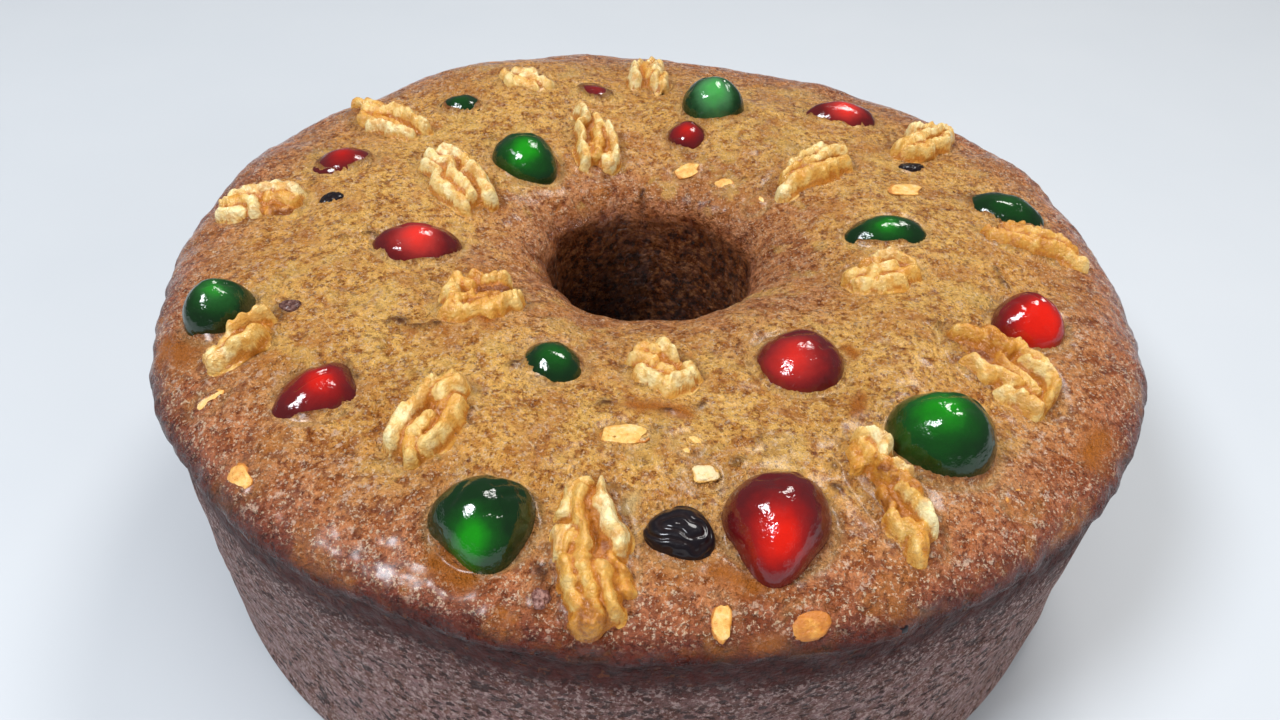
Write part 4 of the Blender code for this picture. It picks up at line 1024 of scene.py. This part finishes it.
def buildWalnuts(material):
    # A height over a plan grid, worked out from the strokes, with fine folds and grain pressed in.
    # The grid's border is joined to one point of the underside, inside the cake, and the heights
    # are measured from the crust below each point.
    for number, (angle, radius, length, width, rise, heading) in enumerate(walnuts, 1):
        name = f"walnut_{number}"
        shade = walnutLook["shades"].get(number, 0.0)
        turn, origin = seat(angle, radius, heading)
        strokes = fittedStrokes(walnutLook["strokes"][number], length, width, rise)
        halfX = length / 2.0 + walnutLook["margin"]
        halfY = width / 2.0 + walnutLook["margin"]
        countX, countY = int(2 * halfX / walnutLook["cell"]), int(2 * halfY / walnutLook["cell"])
        x, y = np.meshgrid(np.linspace(-halfX, halfX, countX), np.linspace(-halfY, halfY, countY),
                           indexing="ij")
        flat = np.stack([x, y, np.full_like(x, number * 31.0)], axis=-1)
        swayX, swayY = (walnutLook["sway"] * cloudNoise(flat, walnutLook["swaySize"], 51 + axis, 2)
                        for axis in range(2))
        z, tone = strokeField(x + swayX, y + swayY, strokes)
        body = blurred(np.maximum(z, -1.0), walnutLook["blurCells"]) - walnutLook["bodyDrop"]
        soft = walnutLook["softness"]
        joined = soft * np.logaddexp(z / soft, body / soft)
        # Partly the browner skin of the clefts, partly painted shade: the tone drops where the folds dip
        # below the soft body.
        tone = tone + shade - 0.5 * np.clip((joined - z) / 0.5, 0.0, 1.0)
        z = joined
        wound = flat + walnutLook["wind"] * latticeNoise(flat, walnutLook["windSize"], 57)[..., None]
        above = smoothStep(z, -0.4, 0.8)
        z = z - above * walnutLook["foldDepth"] * bell(latticeNoise(wound, walnutLook["foldSize"], 61), 0.2)
        z = z + above * walnutLook["grainDepth"] * cloudNoise(flat, walnutLook["grainSize"], 71)
        z = np.maximum(z, walnutLook["floor"])
        # Partly the browner skin in the folds, partly painted shade: how far each point lies below the
        # blurred surface, which browns it in the material.
        crease = np.clip((blurred(z, walnutLook["blurCells"]) - z) / 0.8, 0.0, 1.0) * above
        inner = np.zeros_like(z)
        inner[1:-1, 1:-1] = 1.0
        z = np.where(inner > 0.5, z, walnutLook["floor"])
        points = np.stack([x, y, z], axis=-1).reshape(-1, 3)
        index = np.arange(countX * countY).reshape(countX, countY)
        faces = np.stack([index[:-1, :-1], index[1:, :-1], index[1:, 1:], index[:-1, 1:]], axis=-1)
        border = np.concatenate([index[:-1, 0], index[-1, :-1], index[:0:-1, -1], index[0, :0:-1]])
        bottom = len(points)
        points = np.concatenate([points, [(0.0, 0.0, walnutLook["floor"])]])
        fan = np.stack([np.full(len(border), bottom), np.roll(border, -1), border], axis=-1)
        faces = faces.reshape(-1, 4).tolist() + fan.tolist()
        points[:, :2] *= 1.0 - walnutLook["tuck"] * smoothStep(-points[:, 2:], 0.7, 2.2)
        place = points @ turn.T + origin
        normal = turn[:, 2]
        level = origin[2] - (place[:, :2] - origin[:2]) @ normal[:2] / normal[2]
        points[:, 2] += (crownHeight(place[:, 0], place[:, 1]) - level) * normal[2]
        makePiece(name, points @ turn.T + origin, faces, material, [name],
                  {"crease": np.append(crease.ravel(), 0.0), "tone": np.append(tone.ravel(), 0.0)})


def walnutMaterial():
    graph = Graph("walnutHalf", {"Specular IOR Level": 0.55})
    place = graph.place()
    cloud = graph.noise(place, 3.0, 3.0, 0.55)
    fine = graph.noise(place, 0.8, 3.0, 0.6, 4.0)
    tone = graph.attribute("tone") * 0.5 + 0.44 + (cloud - 0.5) * 1.1
    skin = graph.ramp(tone, [(0.02, (0.20, 0.055, 0.008)), (0.28, (0.46, 0.170, 0.018)),
                             (0.50, (0.64, 0.350, 0.075)), (0.72, (0.72, 0.50, 0.18)),
                             (0.95, (0.78, 0.66, 0.35))])
    glaze = graph.range(graph.noise(place, 3.4, 3.0, 0.6, 17.0), 0.46, 0.60, 0.0, 0.7)
    glazed = graph.blend(glaze, skin, (0.56, 0.25, 0.035))
    # Partly the browner skin in the folds, partly painted shade in them.
    crease = graph.range(graph.attribute("crease"), 0.10, 0.70, 0.0, 0.9)
    creased = graph.blend(crease, glazed, (0.40, 0.135, 0.014))
    veins = graph.range(graph.noise(place, 1.5, 4.0, 0.7, 8.0), 0.54, 0.68, 0.0, 0.4)
    veined = graph.blend(veins, creased, (0.34, 0.13, 0.025))
    height = fine * 0.6 + cloud * 0.5
    return graph.finish(Base_Color=veined, Roughness=graph.range(fine, 0.35, 0.65, 0.14, 0.38),
                        Normal=graph.bump(height, 0.9, 1.0))


buildWalnuts(walnutMaterial())
print("walnuts built")


raisinLook = {
    "dry": {6: 1.0, 3: 0.5},   # dull brown at 1, and black and wet at 0
    "rings": 60,
    "sides": 90,
    "corner": 0.07,            # height of the outline's three-sided wave
    "wrinkle": 0.36,
    "wrinkleSpacing": 2.3,
    "wander": 1.3,             # how far noise moves the wrinkles, in wrinkles
}


def buildRaisins(material):
    # A flattened ball with a three-sided outline, and wrinkles (0.5 + 0.5 cos(turns))^2 that
    # follow the outline, with the turns counted from the middle and moved by noise
    source = random.Random("raisin")
    fall, around = domePoints(raisinLook["rings"], raisinLook["sides"])
    for number, (angle, radius, length, width, rise, heading) in enumerate(raisins, 1):
        name = f"raisin_{number}"
        turn, origin = seat(angle, radius, heading)
        sink = min(width * 0.4, 3.0)
        phase = source.uniform(0.0, math.tau)
        outline = 1.0 + raisinLook["corner"] * np.cos(3.0 * around + phase)
        z = np.cos(fall)
        grid = np.stack([np.sin(fall) * np.cos(around) * outline * length / 2.0,
                         np.sin(fall) * np.sin(around) * outline * width / 2.0,
                         z * np.where(z > 0.0, rise, sink)], axis=-1)
        rings = np.sin(fall) * width / 2.0 / raisinLook["wrinkleSpacing"]
        rings = rings + raisinLook["wander"] * cloudNoise(grid + number * 11.0, width * 0.35, 81, 2)
        furrow = (0.5 + 0.5 * np.cos(math.tau * rings)) ** 2
        scale = min(width / 8.0, 1.0) * raisinLook["wrinkle"]
        normals = gridNormals(grid)
        normals = normals * np.sign((normals * grid).sum(axis=-1, keepdims=True))
        grid = grid - normals * (furrow * scale * smoothStep(z, -0.2, 0.2))[..., None]
        points = withPoles(grid, grid[0].mean(axis=0), grid[-1].mean(axis=0)) @ turn.T + origin
        makePiece(name, points, domeFaces(*fall.shape), material, [name],
                  {"crease": np.concatenate([[0.0], furrow.ravel(), [0.0]]),
                   "dry": np.full(furrow.size + 2, raisinLook["dry"].get(number, 0.0))})


def raisinMaterial():
    graph = Graph("raisinSkin", {"Coat Roughness": 0.03, "Specular IOR Level": 0.1})
    place = graph.place()
    fine = graph.noise(place, 0.8, 3.0, 0.6)
    dark = graph.blend(graph.attribute("crease") * 0.6, (0.006, 0.004, 0.006), (0.016, 0.007, 0.006))
    dry = graph.attribute("dry")
    brown = graph.blend(graph.range(fine, 0.4, 0.6), (0.10, 0.035, 0.028), (0.30, 0.16, 0.13))
    roughness = graph.range(fine, 0.3, 0.7, 0.35, 0.5)
    return graph.finish(Base_Color=graph.blend(dry, dark, brown), Coat_Weight=0.55 - dry * 0.5,
                        Roughness=roughness, Normal=graph.bump(fine, 0.5, 0.3))


buildRaisins(raisinMaterial())
print("raisins built")


studio = {
    "lens": 28.1,
    "sensor": 36.0,
    "position": (0.0, -0.2113, 0.2120),
    "pitch": 39.88,
    "yaw": -0.40,
    "roll": 2.78,
    "floorSize": 2.4,
    "skyColour": (0.90, 0.94, 1.0),
    "skyStrength": 0.17,
    # name: position, aimed at, size, watts, colour, and whether it shows in reflections
    "lamps": {
        "windowLight": ((-0.66, -0.44, 1.08), (0.0, 0.0, 0.06), (0.42, 0.34), 15.5, (0.90, 0.94, 1.0), True),
        "roomLight": ((0.35, 0.63, 1.2), (0.0, 0.0, 0.06), (0.5, 0.38), 8.5, (1.0, 0.97, 0.94), True),
        "ceilingLight": ((0.0, -0.1, 1.5), (0.0, 0.0, 0.06), (1.2, 1.0), 8.0, (1.0, 0.98, 0.95), False),
        "rightLight": ((0.85, -0.60, 0.45), (0.0, 0.0, 0.05), (0.8, 0.5), 6.0, (0.97, 0.98, 1.0), False),
    },
}


def buildFloor():
    half = studio["floorSize"] / 2.0
    mesh = bpy.data.meshes.new("floor")
    corners = [(-half, -half, 0.0), (half, -half, 0.0), (half, half, 0.0), (-half, half, 0.0)]
    mesh.from_pydata(corners, [], [(0, 1, 2, 3)])
    graph = Graph("paleFloor", {"Roughness": 0.55})
    cloud = graph.noise(graph.place(), 60.0, 2.0)
    colour = graph.blend(cloud, (0.50, 0.53, 0.56), (0.53, 0.555, 0.58))
    mesh.materials.append(graph.finish(Base_Color=colour))
    floor = bpy.data.objects.new("floor", mesh)
    bpy.context.scene.collection.objects.link(floor)


def addLamps():
    for name, (position, target, size, watts, colour, mirrored) in studio["lamps"].items():
        lamp = bpy.data.lights.new(name, "AREA")
        lamp.shape = "ELLIPSE"
        lamp.size, lamp.size_y = size
        lamp.energy = watts
        lamp.color = colour
        holder = bpy.data.objects.new(name, lamp)
        bpy.context.scene.collection.objects.link(holder)
        holder.location = position
        holder.visible_glossy = mirrored
        aim = np.array(target) - np.array(position)
        tilt = math.acos(-aim[2] / np.linalg.norm(aim))
        holder.rotation_euler = (tilt, 0.0, math.atan2(aim[1], aim[0]) - math.pi / 2.0)
    world = bpy.data.worlds.new("softSky")
    world.use_nodes = True
    sky = world.node_tree.nodes["Background"]
    sky.inputs["Color"].default_value = (*studio["skyColour"], 1.0)
    sky.inputs["Strength"].default_value = studio["skyStrength"]
    bpy.context.scene.world = world


def addCamera():
    # Looks along +Y, turned by the yaw, tipped down by the pitch and rolled about its own line
    pitch, yaw, roll = (math.radians(studio[key]) for key in ("pitch", "yaw", "roll"))
    ahead = np.array([math.sin(yaw) * math.cos(pitch), math.cos(yaw) * math.cos(pitch), -math.sin(pitch)])
    right = np.array([math.cos(yaw), -math.sin(yaw), 0.0])
    up = np.cross(right, ahead)
    rolledRight = math.cos(roll) * right + math.sin(roll) * up
    rolledUp = -math.sin(roll) * right + math.cos(roll) * up
    lens = bpy.data.cameras.new("photoCamera")
    lens.lens = studio["lens"]
    lens.sensor_width = studio["sensor"]
    lens.clip_start = 0.005
    camera = bpy.data.objects.new("photoCamera", lens)
    bpy.context.scene.collection.objects.link(camera)
    turn = np.eye(4)
    turn[:3, 0], turn[:3, 1], turn[:3, 2], turn[:3, 3] = rolledRight, rolledUp, -ahead, studio["position"]
    camera.matrix_world = Matrix(turn.tolist())
    bpy.context.scene.camera = camera


buildFloor()
addLamps()
addCamera()
bpy.context.scene.view_settings.view_transform = "Standard"
print("studio ready")
